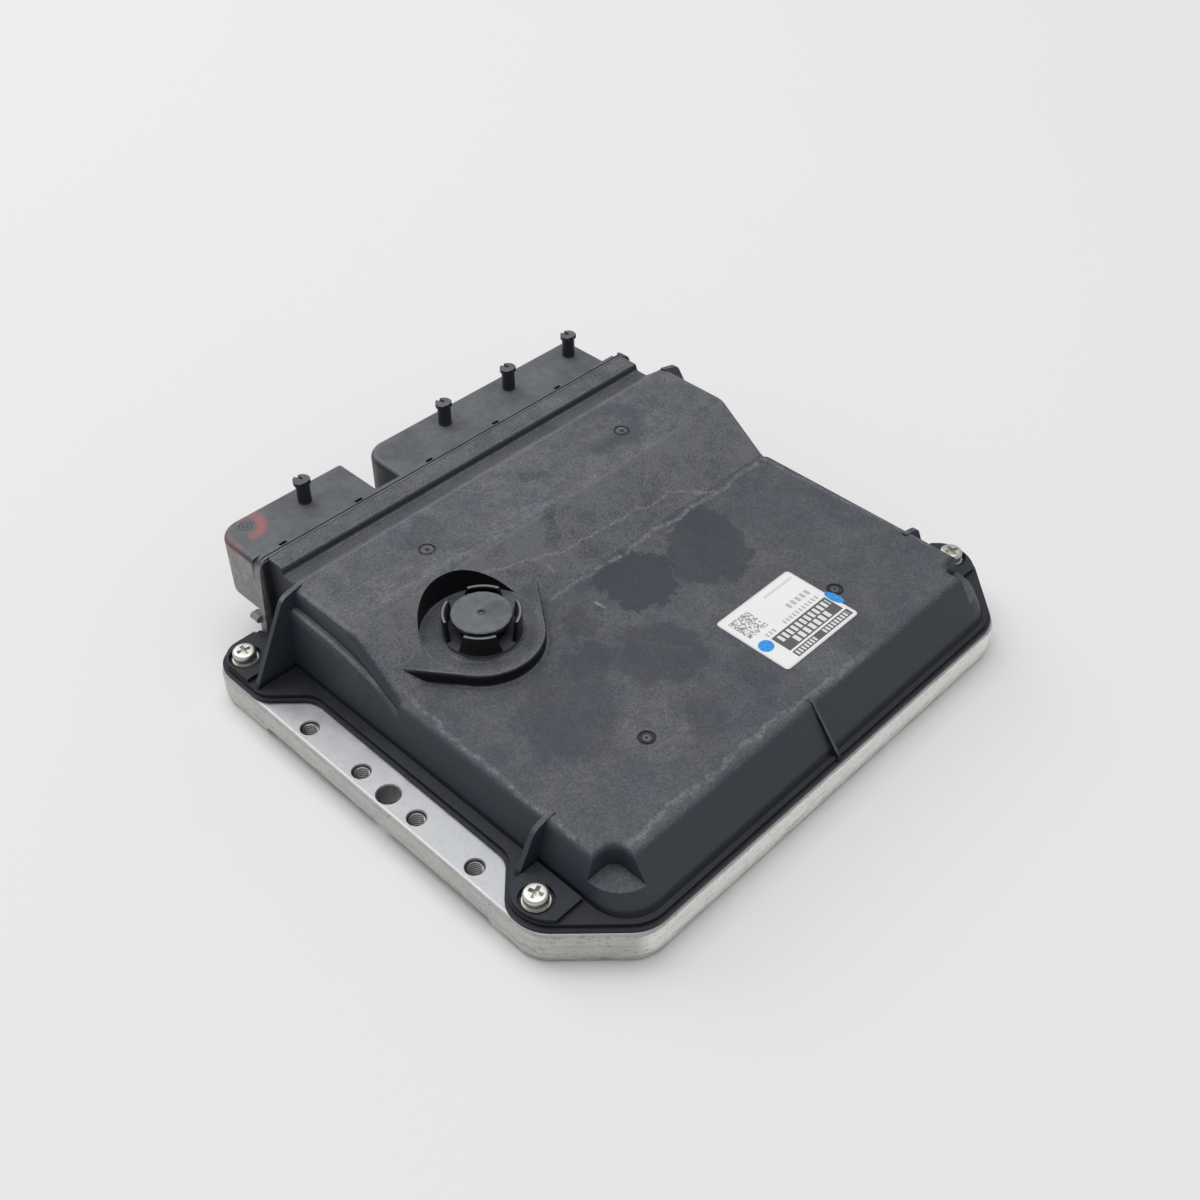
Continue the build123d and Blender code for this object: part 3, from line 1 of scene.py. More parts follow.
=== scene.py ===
# %% [markdown]
# # Dressing an engine control unit
# The CAD model gives every piece its size and place: a die-cast tray, a moulded cover, a plug
# header, screws, a vent plug and a label. This lesson lights it, gives each piece the finish of a
# used unit, and models the small things that CAD leaves plain, such as screw heads and thread turns.

# %% Load the model
import math

import bpy
from mathutils import Matrix, Vector


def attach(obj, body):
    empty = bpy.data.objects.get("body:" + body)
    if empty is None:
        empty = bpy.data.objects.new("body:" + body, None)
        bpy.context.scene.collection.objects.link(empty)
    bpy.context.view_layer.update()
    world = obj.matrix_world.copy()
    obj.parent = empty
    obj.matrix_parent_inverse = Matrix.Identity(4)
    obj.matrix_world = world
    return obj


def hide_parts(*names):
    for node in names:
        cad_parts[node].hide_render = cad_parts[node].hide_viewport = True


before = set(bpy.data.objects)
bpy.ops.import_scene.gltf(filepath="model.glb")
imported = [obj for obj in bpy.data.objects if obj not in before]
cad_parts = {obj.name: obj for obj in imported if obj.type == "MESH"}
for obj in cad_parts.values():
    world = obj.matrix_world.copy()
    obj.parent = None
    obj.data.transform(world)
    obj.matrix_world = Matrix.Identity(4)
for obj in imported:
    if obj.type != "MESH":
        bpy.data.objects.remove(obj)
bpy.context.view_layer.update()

# %% [markdown]
# ## Camera
# The unit lies on a table and is seen from above one corner, from about half a metre. The camera
# is given as a place and two directions, which make a turned frame without any guessing of angles.

# %% Place the camera
scene = bpy.context.scene
forward = Vector((0.53171, 0.51125, -0.67521)).normalized()
sideways = Vector((0.69562, -0.71840, 0.00383))
sideways = (sideways - forward * sideways.dot(forward)).normalized()
upwards = sideways.cross(forward)
turn = Matrix((sideways, upwards, -forward)).transposed().to_4x4()
bpy.ops.object.camera_add()
camera = bpy.context.object
camera.matrix_world = Matrix.Translation((-0.2701, -0.2540, 0.3590)) @ turn
camera.data.lens = 42.83
camera.data.sensor_width = 36.0
camera.data.clip_start = 0.01
scene.camera = camera
scene.view_settings.view_transform = "Standard"
print("camera at", tuple(round(v, 3) for v in camera.location))

# %% [markdown]
# ## Writing shader sums
# A finish is mostly sums of masks: a scratch here, dust there. Written out as nodes they are long,
# so a small class wraps a socket and turns +, -, * and / into Math nodes. All other nodes come from
# one method of the finish.


# %% A socket that can be added and multiplied
class Amount:
    def __init__(self, finish, socket):
        self.finish = finish
        self.socket = socket

    def maths(self, operation, first, second):
        return self.finish.node("Math", {"operation": operation}, {0: first, 1: second})

    def __add__(self, other):
        return self.maths("ADD", self, other)

    def __radd__(self, other):
        return self.maths("ADD", other, self)

    def __sub__(self, other):
        return self.maths("SUBTRACT", self, other)

    def __rsub__(self, other):
        return self.maths("SUBTRACT", other, self)

    def __mul__(self, other):
        return self.maths("MULTIPLY", self, other)

    def __truediv__(self, other):
        return self.maths("DIVIDE", self, other)

    def __pow__(self, other):
        return self.maths("POWER", self, other)

    def __abs__(self):
        return self.maths("ABSOLUTE", self, 0.0)

    def least(self, other):
        return self.maths("MINIMUM", self, other)

    def most(self, other):
        return self.maths("MAXIMUM", self, other)


# %% A finish and its nodes
class Finish:
    """One material with a Principled shader; places on the object are read in millimetres."""

    def __init__(self, name, **settings):
        self.material = bpy.data.materials.new(name)
        self.material.use_nodes = True
        self.tree = self.material.node_tree
        self.shader = self.tree.nodes["Principled BSDF"]
        for socket, value in settings.items():
            self.shader.inputs[socket.replace("_", " ")].default_value = value
        object_place = self.node("TexCoord", {}, {}, 3)
        self.place = self.node("VectorMath", {"operation": "SCALE"}, {0: object_place, 3: 1000.0})
        self.x, self.y, self.z = self.parts(self.place)

    def node(self, kind, settings, inputs, output=0):
        made = self.tree.nodes.new("ShaderNode" + kind)
        for name, value in settings.items():
            setattr(made, name, value)
        for name, value in inputs.items():
            if isinstance(value, Amount):
                self.tree.links.new(value.socket, made.inputs[name])
            else:
                made.inputs[name].default_value = value
        return Amount(self, made.outputs[output])

    def parts(self, vector):
        split = self.node("SeparateXYZ", {}, {0: vector})
        return [Amount(self, socket) for socket in split.socket.node.outputs]

    def facing(self):
        """How far the surface faces up: 1 on a level top, 0 on an upright wall."""
        normal = self.node("NewGeometry", {}, {}, 1)
        return self.parts(normal)[2]

    def smooth(self, value, low, high):
        """0 at low and 1 at high, with soft ends."""
        settings = {"interpolation_type": "SMOOTHSTEP"}
        return self.node("MapRange", settings, {0: value, 1: low, 2: high})

    def band(self, value, low, high, soft):
        return self.smooth(value, low - soft, low) * self.smooth(value, high + soft, high)

    def noise(self, size, detail=3.0, roughness=0.55, stretch=(1.0, 1.0, 1.0), place=None):
        """Cloudy pattern whose patches are about size millimetres across."""
        scale = tuple(1.0 / (size * part) for part in stretch)
        stretched = self.node("VectorMath", {"operation": "MULTIPLY"}, {0: place or self.place, 1: scale})
        inputs = {"Vector": stretched, "Scale": 1.0, "Detail": detail, "Roughness": roughness}
        return self.node("TexNoise", {}, inputs)

    def mix(self, share, first, second):
        """A colour between two colours."""
        return self.node("Mix", {"data_type": "RGBA"}, {0: share, 6: first, 7: second}, 2)

    def bump(self, height, distance_mm, strength=1.0):
        inputs = {"Strength": strength, "Distance": distance_mm / 1000.0, "Height": height}
        return self.node("Bump", {}, inputs)

    def feed(self, **sockets):
        for name, value in sockets.items():
            self.tree.links.new(value.socket, self.shader.inputs[name.replace("_", " ")])

    def dress(self, *nodes):
        """Put this finish on CAD nodes."""
        for name in nodes:
            for slot in bpy.data.objects[name].material_slots:
                slot.material = self.material
        print(self.material.name, "on", ", ".join(nodes))


def grey(level, tint=(1.0, 1.0, 1.0)):
    """A colour given by its brightness and a slight tint."""
    return tuple(level * part for part in tint) + (1.0,)


# %% [markdown]
# ## Marks of use
# Scratches and stains sit at known places, so each is a mask worked out from the distance to a line
# or to the middle of a patch. The places are bent a little by noise first, so that no scratch is
# ruler-straight and no stain is a neat oval.

# %% Scratch and stain masks
VENT_X, VENT_Y = -53.8, 7.0
ARM_HOLE_X = -108.3
STAIN_TURN = -45.0


def wavy(finish, size, reach):
    """Places on the top, pushed about by noise."""
    shifted = finish.node("VectorMath", {}, {0: finish.place, 1: (70, 30, 50)})
    along = (finish.noise(size) - 0.5) * (2 * reach)
    across = (finish.noise(size, place=shifted) - 0.5) * (2 * reach)
    return finish.x + along, finish.y + across


def scratch(finish, place, points, width):
    """1 on a path of straight runs, fading over its width to each side."""
    x, y = place
    nearest = None
    for start, end in zip(points, points[1:]):
        length = math.dist(start, end)
        dx = (end[0] - start[0]) / length
        dy = (end[1] - start[1]) / length
        along = (x - start[0]) * dx + (y - start[1]) * dy
        along = finish.node("MapRange", {}, {0: along, 1: 0.0, 2: length, 3: 0.0, 4: length})
        away_x = x - start[0] - along * dx
        away_y = y - start[1] - along * dy
        away = (away_x * away_x + away_y * away_y) ** 0.5
        nearest = away if nearest is None else nearest.least(away)
    return finish.smooth(nearest, width, width * 0.2)


def stain(finish, place, middle, size, soft=0.35):
    """1 inside a turned oval, with a soft edge."""
    x, y = place
    angle = math.radians(STAIN_TURN)
    dx = x - middle[0]
    dy = y - middle[1]
    along = (dx * math.cos(angle) + dy * math.sin(angle)) / size[0]
    across = (dy * math.cos(angle) - dx * math.sin(angle)) / size[1]
    return finish.smooth(along * along + across * across, 1.0 + soft, 1.0 - soft)


def distance(finish, x, y):
    """How far a place is from an upright axis."""
    dx = finish.x - x
    dy = finish.y - y
    return (dx * dx + dy * dy) ** 0.5


print("mask helpers ready")

# %% [markdown]
# ## Cover
# The cover is glass-filled plastic: charcoal, with a fine moulded grain. Years of handling left its
# tops dusty and lighter, rubbed its top edges pale, and left darker patches where fingers wiped the
# dust away. The slope is painted lighter still as sheen, tiny painted glints speckle the tops, thin
# painted highlights run along the rear top edge and round the vent seat, and the seat's recess wall
# and the rear groove carry painted shade. Where a wall stands upright, dust doesn't lie, so the
# walls stay darker and smoother.

# %% Dust on the tops, painted sheen on the slope and painted shade in the groove
cover = Finish("cover_moulded_plastic", Roughness=0.55, IOR=1.42)
upward = cover.facing()
up_share = cover.smooth(upward, 0.50, 0.97)
lean_share = cover.smooth(upward, 0.05, 0.60)
bent = wavy(cover, 11.0, 3.0)
ragged = wavy(cover, 7.0, 9.0)
high = cover.smooth(cover.z, 40.0, 46.5)
slope = cover.band(upward, 0.72, 0.88, 0.07) * cover.band(cover.z, 33.5, 46.6, 1.5)
cloud = cover.smooth(cover.noise(26.0, 3.0), 0.34, 0.66)
blotch = cover.smooth(cover.noise(6.0, 4.0, 0.62), 0.34, 0.66)
fine = cover.smooth(cover.noise(0.75, 3.0, 0.75), 0.30, 0.70)
# The rear groove gets painted shade: its dust share is cut by a third.
groove_shade = cover.band(cover.y, 60.0, 69.0, 0.6)
# The slope's large extra share is painted sheen, on top of its dust.
dust_and_sheen_level = 0.31 + high * 0.18 + slope * 0.74
dust_and_highlights = up_share * dust_and_sheen_level * (0.58 + cloud * 0.38 + blotch * 0.44) * (1 - groove_shade * 0.3)
print("dust ready")

# %% Patches wiped dark and patches left pale
DARK_PATCHES = [
    ((3.4, -9.0), (14.5, 15.0), 0.08, 0.90),
    ((34.0, -14.0), (15.0, 20.0), 0.12, 0.76),
    ((-25.9, -9.8), (5.5, 8.5), 0.5, 0.60),
    ((-37.0, -24.0), (9.0, 8.5), 0.4, 0.60),
    ((-16.0, -39.0), (16.0, 14.0), 0.25, 0.60),
    ((-57.0, -36.5), (17.5, 19.0), 0.30, 0.48),
    ((-27.0, -66.0), (8.0, 9.0), 0.5, 0.42),
    ((2.0, -66.0), (9.5, 9.5), 0.4, 0.42),
    ((-41.8, 48.3), (7.4, 9.5), 0.25, 0.42),
    ((6.3, 44.3), (5.0, 2.9), 0.3, 0.5),
    ((-6.0, 24.0), (4.0, 8.0), 0.4, 0.4),
]
PALE_PATCHES = [
    ((-10.5, -24.0), (19.0, 7.0), 0.4),
    ((-43.0, -60.5), (12.0, 13.0), 0.4),
    ((12.0, -74.0), (16.0, 8.0), 0.5),
    ((-77.0, -34.0), (4.0, 10.0), 0.5),
    ((-45.0, 27.0), (13.0, 6.0), 0.5),
    ((-14.0, 18.0), (15.0, 6.0), 0.5),
    ((60.0, 30.0), (12.0, 10.0), 0.5),
]
ring_path = [(47.9, 57.0), (56.5, 51.0), (57.5, 43.0), (50.0, 36.0), (34.0, 40.0)]
wiped = scratch(cover, bent, ring_path, 5.0) * 0.45
for middle, size, soft, strength in DARK_PATCHES:
    wiped = wiped.most(stain(cover, ragged, middle, size, soft) * strength)
pale = scratch(cover, bent, [(31.0, 4.0), (24.5, -11.0), (21.5, -24.0), (13.0, -34.0)], 4.5)
for middle, size, soft in PALE_PATCHES:
    pale = pale.most(stain(cover, bent, middle, size, soft))
dust_and_highlights = dust_and_highlights * (1 - wiped) * (1 + pale * 0.32)
print(len(DARK_PATCHES), "dark and", len(PALE_PATCHES), "pale patches ready")

# %% Scratches and rubbed edges
slope_path = [(-44.0, 23.9), (-22.0, 17.8), (-2.2, 14.8), (15.0, 13.9), (30.0, 13.2), (43.0, 11.8)]
slope_path.append((59.7, 5.4))
SCRATCHES = [
    (slope_path, 0.65, 0.75),
    ([(-78.3, 43.2), (-40.0, 33.0), (2.5, 27.7)], 0.45, 0.30),
    ([(-20.8, 59.0), (-7.0, 43.1)], 0.45, 0.35),
    ([(-23.7, 34.9), (-5.9, 33.1)], 0.45, 0.35),
    ([(-6.1, 21.1), (1.0, 29.2), (-10.5, 25.9)], 0.6, 0.30),
    ([(-17.3, 14.2), (-16.0, 11.6)], 0.9, 0.9),
    ([(-13.6, -5.2), (-13.9, -10.2)], 0.7, 0.8),
    ([(-19.0, -27.7), (-7.6, -46.2)], 0.45, 0.14),
    ([(35.0, 45.0), (50.0, 44.5), (59.6, 42.6)], 0.4, 0.30),
]


def strongest(rows):
    """The strongest of several scratches on the cover at each place."""
    whole = None
    for points, width, strength in rows:
        line = scratch(cover, bent, points, width) * strength
        whole = line if whole is None else whole.most(line)
    return whole


lines = strongest(SCRATCHES)
broken = cover.smooth(cover.noise(2.6, 4.0, 0.65), 0.40, 0.58)

RUBBED_EDGES = {
    "slope foot": ([(-25.0, 5.6), (30.0, 4.6), (64.0, 4.0), (84.0, 4.5)], 1.5, 0.55),
    "slope head": ([(-74.0, 31.5), (-53.0, 31.0), (-30.0, 28.8), (60.0, 27.6)], 2.0, 0.30),
    "near edge": ([(-84.0, -84.4), (-34.0, -83.6), (30.0, -86.2)], 1.7, 0.45),
    "left edge": ([(-87.1, 6.3), (-89.4, -16.0), (-89.6, -46.0), (-90.2, -70.0)], 1.3, 0.45),
    "right edge": ([(88.0, 6.0), (90.0, -70.0)], 1.3, 0.35),
}
rubbed = strongest(RUBBED_EDGES.values())
worn = (lines * (0.6 + broken * 0.4)).most(rubbed * (0.25 + broken * 0.75)) * up_share
worn = worn * cover.smooth(cover.z, 30.5, 31.6)

# The web on the near wall: its front edge is rubbed, and its side lies in its own shade
web_run = cover.smooth(cover.y, -86.4, -87.4) * cover.smooth(cover.z, 16.4, 17.4)
worn = worn.most(cover.band(cover.x, -0.35, 0.35, 0.15) * web_run * 0.22)
web_side = cover.band(cover.x, -0.85, -0.55, 0.06) * web_run
# A painted highlight along the rear top edge of the high top.
rear_lip_highlight = cover.band(cover.y, 57.7, 58.5, 0.3) * high * 0.30
print(len(SCRATCHES), "scratches ready, rubbed edges:", ", ".join(RUBBED_EDGES))

# %% Round marks, and painted highlights and shade at the vent seat
MARK_R = 2.9
MARK_X = 47.5
HIGH_MARK = (40.6, 0.9, 2.2)
LOW_MARK = (-60.1, 0.55, 1.3)
ROUND_MARKS = [(-MARK_X, *HIGH_MARK), (MARK_X, *HIGH_MARK), (-MARK_X, *LOW_MARK), (MARK_X, *LOW_MARK)]


def round_mark(x, y, dot, pale_r):
    """Two masks of a moulded mark: its dark dot and dark rim, and its pale ring."""
    away = distance(cover, x, y)
    edge = cover.band(away, pale_r + 0.2, MARK_R, 0.25)
    centre = cover.smooth(away, dot + 0.2, dot - 0.2)
    ring = cover.band(away, dot + 0.3, pale_r, 0.25)
    return centre.most(edge) * up_share, ring * up_share


mark_dark, mark_pale = round_mark(*ROUND_MARKS[0])
for mark in ROUND_MARKS[1:]:
    next_dark, next_pale = round_mark(*mark)
    mark_dark = mark_dark.most(next_dark)
    mark_pale = mark_pale.most(next_pale)

from_vent = distance(cover, VENT_X, VENT_Y)
# Light lines at the foot of the seat's raised rim, along its lip, at the foot of the recess wall and round
# the guard are painted highlights.
seat_foot_highlight = cover.band(from_vent, 20.9, 21.4, 0.3) * cover.smooth(cover.y, 8.0, 2.0)
seat_foot_highlight = seat_foot_highlight * cover.smooth(cover.z, 32.8, 32.1)
on_seat = cover.band(cover.z, 36.0, 37.1, 0.4)
seat_lip_highlight = cover.band(from_vent, 18.8, 20.4, 0.5) * on_seat * cover.smooth(cover.y, 6.0, 0.0)
seat_line_highlight = cover.band(from_vent, 19.9, 20.4, 0.3) * on_seat * cover.smooth(cover.y, 4.0, 10.0)
guard_line_highlight = cover.band(from_vent, 14.7, 14.95, 0.3) * on_seat * cover.smooth(cover.y, 12.0, 4.0)
# The wall of the vent seat's recess is painted near-black as shade.
seat_wall_shade = cover.smooth(from_vent, 30.0, 28.0) * (1 - up_share) * cover.smooth(cover.z, 32.0, 33.0)
print(len(ROUND_MARKS), "round marks and the vent seat ready")

# %% Cover finish
low_flange = cover.smooth(cover.z, 18.6, 17.2)
dust_and_highlights = dust_and_highlights * (1 - low_flange * 0.62) * (1 - mark_dark * 0.85) * (1 + mark_pale * 0.35)
# Painted highlights along the rear top edge and round the vent seat are added to the dust share here.
dust_and_highlights = dust_and_highlights + rear_lip_highlight + seat_foot_highlight * 0.45 + seat_lip_highlight * 0.16 + (seat_line_highlight + guard_line_highlight) * 0.28
dust_and_highlights = (dust_and_highlights + lean_share * 0.08 * (1 - low_flange)) * (0.50 + fine)
# glint: tiny painted glints on the tops, added to the dust share.
glint = cover.smooth(cover.noise(0.85, 1.0), 0.735, 0.80) * up_share * (1 - low_flange)
dust_and_highlights = dust_and_highlights + glint * 0.22
tone = cover.smooth(cover.noise(13.0, 3.0), 0.35, 0.65)
dusty_colour = cover.mix(tone, grey(0.185, (0.94, 0.985, 1.08)), grey(0.185, (1.0, 0.995, 1.03)))
dusty_colour = cover.mix(low_flange, dusty_colour, grey(0.085, (0.80, 0.96, 1.30)))
# The low flange and the marks' dark parts go darker; the seat's recess wall and the web's side are painted
# shade.
dark_and_shaded = (low_flange * 0.75).most(seat_wall_shade).most(mark_dark).most(web_side)
bare_and_shaded_colour = cover.mix(dark_and_shaded, grey(0.035, (0.82, 0.96, 1.34)), grey(0.002, (0.7, 0.95, 1.6)))
dusted_with_painted_light = cover.mix(dust_and_highlights.least(1.0), bare_and_shaded_colour, dusty_colour)
worn_share = (worn * (0.2 + fine * 0.8)).least(1.0)
cover.feed(Base_Color=cover.mix(worn_share, dusted_with_painted_light, grey(0.36, (0.97, 0.99, 1.04))))
cover.feed(Roughness=0.50 + dust_and_highlights * 0.3)
cover.feed(Normal=cover.bump(fine * (0.35 + up_share * 0.65), 0.10, 0.6))
cover.dress("cover")

# %% [markdown]
# ## Plug header
# The header is the same kind of plastic without the grain, so it is smoother and shows a soft
# shine. A half ring of red paint marks one corner of the short shroud. It is worn thin, and some of
# it ran down the edge. The sides of its pegs, under their heads, carry painted shade.

# %% Header finish
header = Finish("header_smooth_plastic", Roughness=0.42, IOR=1.5)
header_up = header.smooth(header.facing(), 0.5, 0.95)
header_cloud = header.smooth(header.noise(14.0, 4.0), 0.32, 0.68)
header_blotch = header.smooth(header.noise(3.0, 4.0), 0.34, 0.66)
header_bent = wavy(header, 5.0, 0.8)
header_dust = header_up * (0.40 + header_cloud * 0.28 + header_blotch * 0.16)
header_base = header.mix(header_dust, grey(0.040, (0.86, 0.95, 1.20)), grey(0.165, (0.95, 0.99, 1.07)))
left_face = header.smooth(header.x, -88.5, -90.6) * header.smooth(header.z, 44.9, 43.4)
pale_face = header.mix(left_face * (0.55 + header_blotch * 0.3), header_base, grey(0.34, (1.0, 1.0, 0.99)))

RING_X, RING_Y = -81.6, 96.6
paint_path = [(-81.0, 101.6), (-77.6, 102.0), (-75.2, 98.6), (-76.4, 94.4), (-79.4, 91.2), (-82.2, 90.6)]
paint = scratch(header, header_bent, paint_path, 2.7) * header_up * header.smooth(header.z, 44.6, 45.2)
edge_run = header.smooth(header.x, -87.6, -89.6) * header.band(header.y, 88.0, 100.0, 3.0)
edge_run = edge_run * header.smooth(header.z, 40.0, 44.5)
worn_paint = header.smooth(header.noise(1.6, 4.0, 0.65), 0.30, 0.60)
paint = paint.most(edge_run * 0.35) * (0.45 + worn_paint * 0.55)
from_ring = distance(header, RING_X, RING_Y)
ring_lines = header.band(from_ring, 2.0, 2.3, 0.3).most(header.band(from_ring, 0.7, 1.1, 0.3))
painted = header.mix(paint * 0.62, pale_face, (0.52, 0.12, 0.10, 1.0))
# The sides of the pegs, under their heads, get painted shade.
peg_side_shade = header.smooth(header.z, 46.2, 46.8) * (1 - header_up)
header_marks_and_shade = (ring_lines * header_up * 0.6).most(peg_side_shade * 0.8)
header.feed(Base_Color=header.mix(header_marks_and_shade, painted, grey(0.012, (0.9, 0.97, 1.15))))
header.feed(Roughness=0.40 + header_cloud * 0.18)
header.feed(Normal=header.bump(header.noise(1.2, 3.0), 0.05, 0.4))
header.dress("plug_header")

# %% [markdown]
# ## Cast tray
# The tray is die-cast aluminium. Its level faces are pale and slightly mottled, and its sides carry
# drawn lines from the die, dull dark pits and a soiled band near the table. Its near side is cleaner
# than the others, and the walls of the arm's holes carry painted shade, darker than its top.

# %% Tray finish
tray = Finish("cast_aluminium", Metallic=0.9, Roughness=0.45)
tray_normal = tray.parts(tray.node("NewGeometry", {}, {}, 1))
tray_up = tray.smooth(tray_normal[2], 0.6, 0.97)
near_side = tray.smooth(tray_normal[1], -0.75, -0.98)
side = 1 - tray_up
tray_cloud = tray.smooth(tray.noise(7.0, 5.0, 0.6), 0.32, 0.68)
drawn = tray.smooth(tray.noise(4.0, 5.0, 0.7, stretch=(3.5, 3.5, 0.10)), 0.40, 0.66)
pits = tray.smooth(tray.noise(0.9, 3.0, 0.6, stretch=(1.6, 1.6, 0.7)), 0.56, 0.68)
soil = tray.smooth(tray.noise(4.0, 5.0, 0.7, stretch=(2.5, 2.5, 0.5)), 0.48, 0.68)
low_band = tray.smooth(tray.z, 7.0, 2.0)
# The walls of the arm's holes get painted shade: they are mixed towards a darker grey.
hole_wall_shade = tray.smooth(abs(tray.x - ARM_HOLE_X), 3.9, 3.6) * tray.band(tray.y, -56.0, 42.0, 1.0) * side
marks = side * (pits * 0.42 + soil * (0.16 + low_band * 0.45) + drawn * 0.24 + near_side * low_band * 0.3)
marks = marks * (1 - near_side * 0.35) + tray_up * pits * 0.10
level_metal = tray.mix(tray_cloud, grey(0.47, (0.985, 1.0, 1.02)), grey(0.54, (0.985, 1.0, 1.02)))
side_metal = tray.mix(near_side, grey(0.62, (1.025, 1.0, 0.965)), grey(0.98, (1.02, 1.0, 0.97)))
clean_metal_and_hole_shade = tray.mix(hole_wall_shade, tray.mix(tray_up, side_metal, level_metal), grey(0.36, (0.98, 1.0, 1.03)))
tray.feed(Base_Color=tray.mix(marks.least(1.0), clean_metal_and_hole_shade, grey(0.13, (1.08, 1.0, 0.90))))
tray.feed(Roughness=0.42 + tray_cloud * 0.12 + marks * 0.1)
cast_height = (drawn + pits) * side * -0.5 + tray.noise(0.8, 3.0, 0.6) * 0.5
tray.feed(Normal=tray.bump(cast_height, 0.12, 0.6))
tray.dress("base_tray")

# %% [markdown]
# ## Zinc, contacts and hidden parts
# Screws, washers and sleeves are zinc plated steel. The contacts are tin plated. The parts inside
# the case show only when it is opened in the model, but each still gets a plain, true finish.

# %% Metals
zinc = Finish("zinc_plated_steel", Metallic=1.0, Roughness=0.3)
zinc_cloud = zinc.noise(1.4, 3.0)
zinc.feed(Base_Color=zinc.mix(zinc_cloud, grey(0.54, (1.0, 1.0, 0.90)), grey(0.82, (1.0, 1.0, 0.93))))
zinc.feed(Roughness=0.30 + zinc_cloud * 0.22)
zinc.dress("spring_washers", "flat_washers", "screw_sleeves", "board_screws")

tin = Finish("tin_plated_contacts", Metallic=1.0, Roughness=0.28)
tin.feed(Base_Color=tin.mix(tin.noise(2.0), grey(0.6, (1.0, 0.97, 0.9)), grey(0.75, (1.0, 0.97, 0.9))))
tin.dress("pins_short_bay", "pins_middle_bay", "pins_end_bay", "power_pins")

can = Finish("drawn_can_metal", Metallic=1.0, Roughness=0.32)
can.feed(Base_Color=can.mix(can.noise(3.0, stretch=(1, 1, 6)), grey(0.55), grey(0.72)))
can.dress("can_capacitors", "clock_crystal")

# %% Plastics, rubber and board
def simple_finish(name, dark, light, size, roughness, grain_mm, *nodes):
    """A finish whose colour drifts between two tones, with a little grain."""
    finish = Finish(name, Roughness=roughness)
    drift = finish.noise(size, 4.0)
    finish.feed(Base_Color=finish.mix(drift, dark + (1.0,), light + (1.0,)))
    finish.feed(Normal=finish.bump(finish.noise(size / 6, 2.0), grain_mm, 0.5))
    finish.dress(*nodes)


seals = ("tray_seal", "header_seal", "vent_seal")
simple_finish("seal_rubber", (0.02, 0.02, 0.02), (0.035, 0.035, 0.036), 5.0, 0.75, 0.06, *seals)
simple_finish("board_lacquer", (0.015, 0.10, 0.04), (0.03, 0.16, 0.07), 9.0, 0.35, 0.02, "circuit_board")
packages = ["microcontroller", "memory_chip", "pressure_sensor", "driver_chips"]
packages += ["power_transistors", "power_inductors", "diodes", "resistors"]
simple_finish("package_plastic", (0.018, 0.018, 0.02), (0.035, 0.035, 0.037), 3.0, 0.6, 0.03, *packages)
simple_finish("thermal_pad", (0.3, 0.4, 0.52), (0.4, 0.5, 0.62), 3.0, 0.8, 0.05, "thermal_pads")
simple_finish("fired_ceramic", (0.42, 0.3, 0.2), (0.55, 0.42, 0.3), 1.5, 0.5, 0.02, "ceramic_capacitors")
simple_finish("breathing_film", (0.78, 0.78, 0.76), (0.9, 0.9, 0.88), 1.0, 0.8, 0.03, "vent_membrane")

# %% [markdown]
# ## Vent plug
# Four glossy petals guard a grey cap. The petals are smooth black plastic with a painted highlight
# along their rims, and the ring they stand on is as dusty as the cover. The cap is a duller grey with
# a dusty bloom, and its chamfer carries a painted highlight along each of its short sides.

# %% Vent finishes
petals = Finish("vent_petal_gloss", Roughness=0.3, IOR=1.38)
petal_up = petals.smooth(petals.facing(), 0.5, 0.9)
from_axis = distance(petals, VENT_X, VENT_Y)
# A painted highlight along the rounded top edge of each petal's rim.
rim_highlight = petals.smooth(petals.z, 44.9, 45.2) * petal_up * petals.band(from_axis, 12.3, 12.8, 0.2)
ring_dust = petals.smooth(petals.z, 38.6, 38.1) * petal_up
ring_edge = petals.smooth(petals.z, 38.3, 38.0) * petals.smooth(from_axis, 12.6, 13.1)
petal_colour = petals.mix(rim_highlight * 0.8, grey(0.006, (0.9, 1.0, 1.2)), grey(0.26, (0.97, 1.0, 1.05)))
petals.feed(Base_Color=petals.mix(ring_dust.most(ring_edge), petal_colour, grey(0.072, (0.95, 0.99, 1.08))))
petals.feed(Roughness=0.3 + ring_dust.most(ring_edge) * 0.4 + rim_highlight * 0.25)
petals.dress("vent_guard", "vent_clamp_ring")

cap = Finish("vent_cap_plastic", Roughness=0.4, IOR=1.5)
cap_up = cap.smooth(cap.facing(), 0.85, 0.99)
# The chamfer of the cap gets a painted highlight, added to its dust.
cap_edge_highlight = cap.band(cap.facing(), 0.35, 0.90, 0.1)
from_cap = distance(cap, VENT_X, VENT_Y)
bloom = cap.smooth(cap.noise(5.0, 4.0), 0.34, 0.66)
smudge = stain(cap, wavy(cap, 3.0, 1.0), (-49.5, 4.5), (4.8, 4.0), 0.6)
cap_dust_and_highlight = cap_up * (0.62 + bloom * 0.22) * (1 - smudge * 0.35) + cap_edge_highlight * 0.75
dimple = cap.band(from_cap, 0.9, 1.5, 0.2) * cap_up
cap_dust_and_highlight = cap_dust_and_highlight * (1 - dimple * 0.7)
cap.feed(Base_Color=cap.mix(cap_dust_and_highlight, grey(0.020, (0.9, 0.98, 1.15)), grey(0.18, (0.93, 0.99, 1.08))))
cap.feed(Roughness=0.36 + bloom * 0.2)
cap.feed(Normal=cap.bump(cap.noise(0.6, 2.0), 0.04, 0.5))
cap.dress("vent_cap")

# %% [markdown]
# ## Label
# The label is a coated white film. A dark block and a dark band, both with rows of plain pale
# blocks, grey rows of blocks and a square of small cells stand where a label of this kind is
# printed. They are worked out from places on the label, so the print stays sharp at any size.

